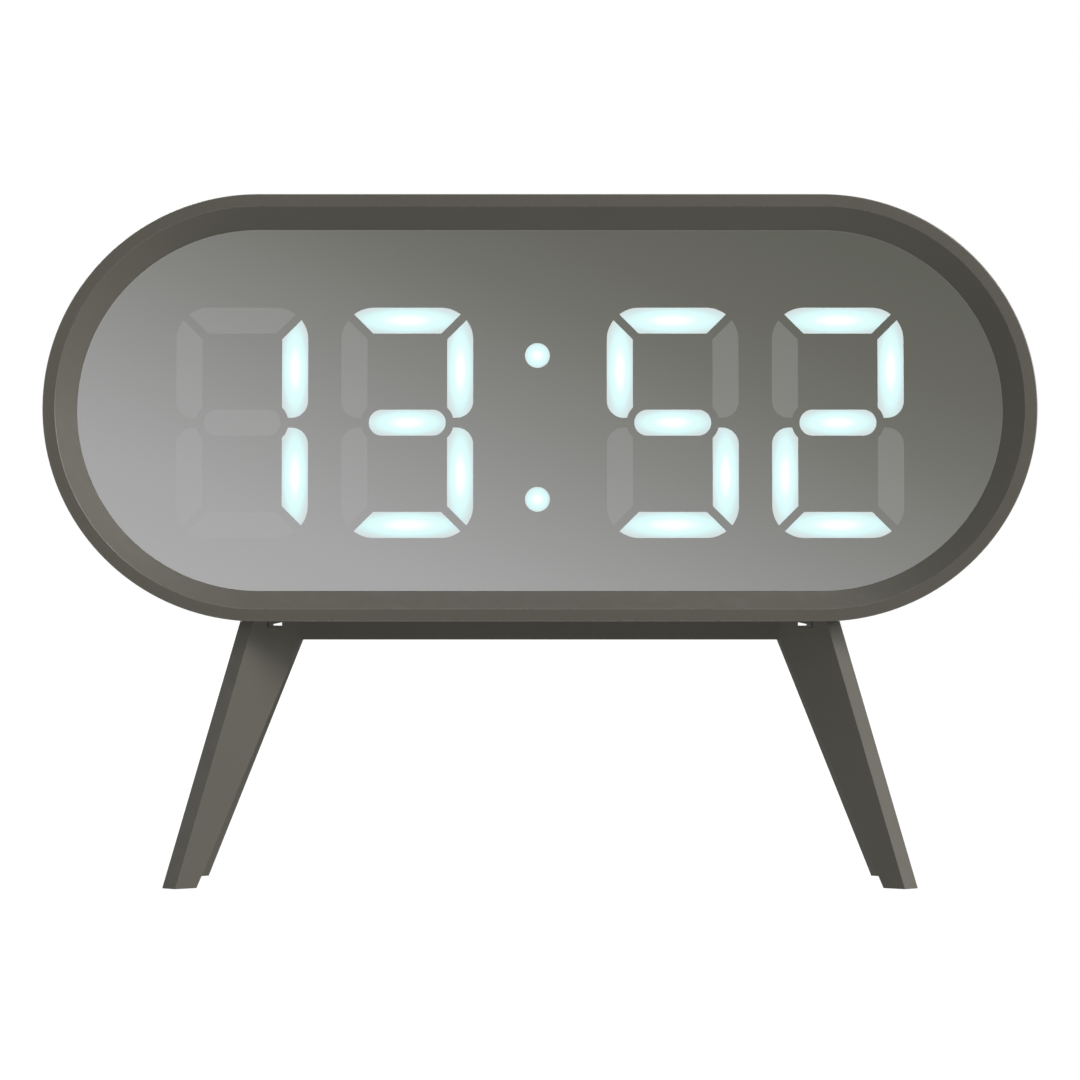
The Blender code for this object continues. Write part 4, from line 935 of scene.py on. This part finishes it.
def build_slider():
    """The alarm slider: a flange inside the cover, a grooved thumb, and prongs round the lever."""
    base = rounded(SLIDER_X, KEY_Z, 15.0 * MM, 7.0 * MM, 1.0 * MM)
    thumb = rounded(SLIDER_X, KEY_Z, 4.0 * MM, 3.0 * MM, 0.6 * MM)
    top = rounded(SLIDER_X, KEY_Z, 3.6 * MM, 2.6 * MM, 0.4 * MM)
    layers = [(base, depth) for depth in FLANGE_DEPTH]
    layers += [(thumb, STEP_DEPTH), (thumb, 40.8 * MM), (top, 41.0 * MM)]
    prongs = bmesh.new()
    for inner, outer in ((-2.5 * MM, -1.3 * MM), (1.3 * MM, 2.5 * MM)):
        box(prongs, (SLIDER_X + inner, SLIDER_X + outer), (34.0 * MM, 36.8 * MM),
            (KEY_Z - 1.2 * MM, KEY_Z + 1.2 * MM))
    mesh = boolean(stacked("slider", layers), finish_mesh(prongs, "prongs"), "UNION")
    grooves = bmesh.new()
    for x in (SLIDER_X - 1.0 * MM, SLIDER_X, SLIDER_X + 1.0 * MM):
        box(grooves, (x - 0.2 * MM, x + 0.2 * MM), (40.7 * MM, 41.5 * MM),
            (KEY_Z - 2.0 * MM, KEY_Z + 2.0 * MM))
    mesh = boolean(mesh, finish_mesh(grooves, "grooves"), "DIFFERENCE")
    obj = add_piece("slider_thumb", mesh, [KEY_PLASTIC], "alarm_slider")
    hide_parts("alarm_slider")


# ---------------------------------------------------------------- stand and carried-over nodes

def round_stand():
    """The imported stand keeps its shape; modifiers merge its flat facets and round its edges."""
    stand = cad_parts["leg_stand"]
    flat = stand.modifiers.new("flatten", "DECIMATE")
    flat.decimate_type = "DISSOLVE"
    flat.angle_limit = math.radians(1.0)
    edge = stand.modifiers.new("edges", "BEVEL")
    edge.width = 0.12 * MM
    edge.segments = 3
    edge.limit_method = "ANGLE"
    edge.angle_limit = math.radians(30)
    edge.harden_normals = True


NODE_MATERIALS = (
    ("leg_stand", MOSS), ("lens_tape", FOAM), ("diffuser_sheet", FILM), ("reflector_block", WHITE),
    ("display_board", BOARD), ("main_board", BOARD), ("display_cable", RIBBON), ("buzzer", BLACK),
    ("power_socket", STEEL), ("key_switch", BLACK), ("switch_plunger", BLACK),
    ("slide_switch_body", STEEL), ("slide_switch_lever", BLACK), ("battery_cell", CELL),
    ("contact_", STEEL), ("battery_lead_red", RED), ("battery_lead_black", SLEEVE),
    ("cover_screw", STEEL), ("display_screw", STEEL), ("board_screw", STEEL),
    ("stand_screw", STEEL), ("foot_pad", PAD),
)


def dress_nodes():
    for name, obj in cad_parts.items():
        for prefix, mat in NODE_MATERIALS:
            if name.startswith(prefix):
                obj.data.materials.clear()
                obj.data.materials.append(mat)


# ---------------------------------------------------------------- studio

def build_floor():
    """A white floor just under the feet, which is clear from below."""
    bm = bmesh.new()
    bmesh.ops.create_grid(bm, x_segments=4, y_segments=4, size=6.0)
    floor = bpy.data.objects.new("floor", finish_mesh(bm, "floor"))
    floor.location = (0.0, 0.0, -0.2 * MM)
    bpy.context.scene.collection.objects.link(floor)
    n = material("floor_white")
    bounce = n.math("MULTIPLY", n.ray("Diffuse"), FLOOR_BOUNCE)
    sheen = n.math("MULTIPLY", n.ray("Glossy"), FLOOR_SHEEN)
    strength = n.math("ADD", n.math("ADD", bounce, sheen), n.ray("Camera"))
    diffuse = n.add("ShaderNodeBsdfDiffuse")
    n.put((FLOOR_GREY,) * 3, diffuse.inputs["Color"])
    top = n.both(n.emission(WHITE_LIGHT, strength), diffuse.outputs[0])
    floor.data.materials.append(n.surface(n.either(n.geometry("Backfacing"), top, n.clear())))


def build_world():
    """White to the camera. Glossy rays see the room's reflection in front and a pale sheen behind."""
    world = bpy.data.worlds.new("studio")
    bpy.context.scene.world = world
    n = Nodes(world, "ShaderNodeOutputWorld")
    ray = n.coords("Generated")
    across = -21.9
    up = -56.8
    before_camera = 3.32
    mirrored_rise = 0.1566
    level = n.plane(ray, across, up, before_camera - up * mirrored_rise)
    brighten = 1.0 / (MIRROR_TINT * MIRROR_SHARE)
    room = n.colour_ramp(level, REFLECTION, REFLECTION_LOW, REFLECTION_HIGH, brighten)
    behind = n.math("GREATER_THAN", n.parts(ray)["Y"], -0.5)
    glossy = n.mix(behind, room, (SHEEN,) * 3)
    other = n.mix(n.ray("Glossy"), (SKY,) * 3, glossy)
    background = n.add("ShaderNodeBackground")
    n.put(n.mix(n.ray("Camera"), other, WHITE_LIGHT), background.inputs["Color"])
    n.surface(background.outputs[0])


def area_light(name, direction, energy):
    data = bpy.data.lights.new(name, "AREA")
    data.shape = "DISK"
    data.size = LIGHT_SIZE
    data.energy = energy
    light = bpy.data.objects.new(name, data)
    bpy.context.scene.collection.objects.link(light)
    aim = Vector(direction).normalized()
    light.location = Vector((0.0, 0.0, LIGHT_AIM_Z)) + aim * LIGHT_DISTANCE
    light.rotation_euler = aim.to_track_quat("Z", "Y").to_euler()


def build_camera():
    data = bpy.data.cameras.new("camera")
    data.sensor_width = 36.0
    data.lens = CAMERA_LENS
    data.clip_start = 0.05
    data.clip_end = 50.0
    camera = bpy.data.objects.new("camera", data)
    camera.location = (0.0, CAMERA_Y, CAMERA_Z)
    camera.rotation_euler = (math.radians(90), 0.0, 0.0)
    bpy.context.scene.collection.objects.link(camera)
    bpy.context.scene.camera = camera


# ---------------------------------------------------------------- build

build_front()
build_mirror()
build_digits()
build_cover()
build_door()
build_keys()
build_slider()
round_stand()
dress_nodes()
build_floor()
build_world()
for light in LIGHTS:
    area_light(*light)
build_camera()
bpy.context.scene.view_settings.view_transform = "Standard"
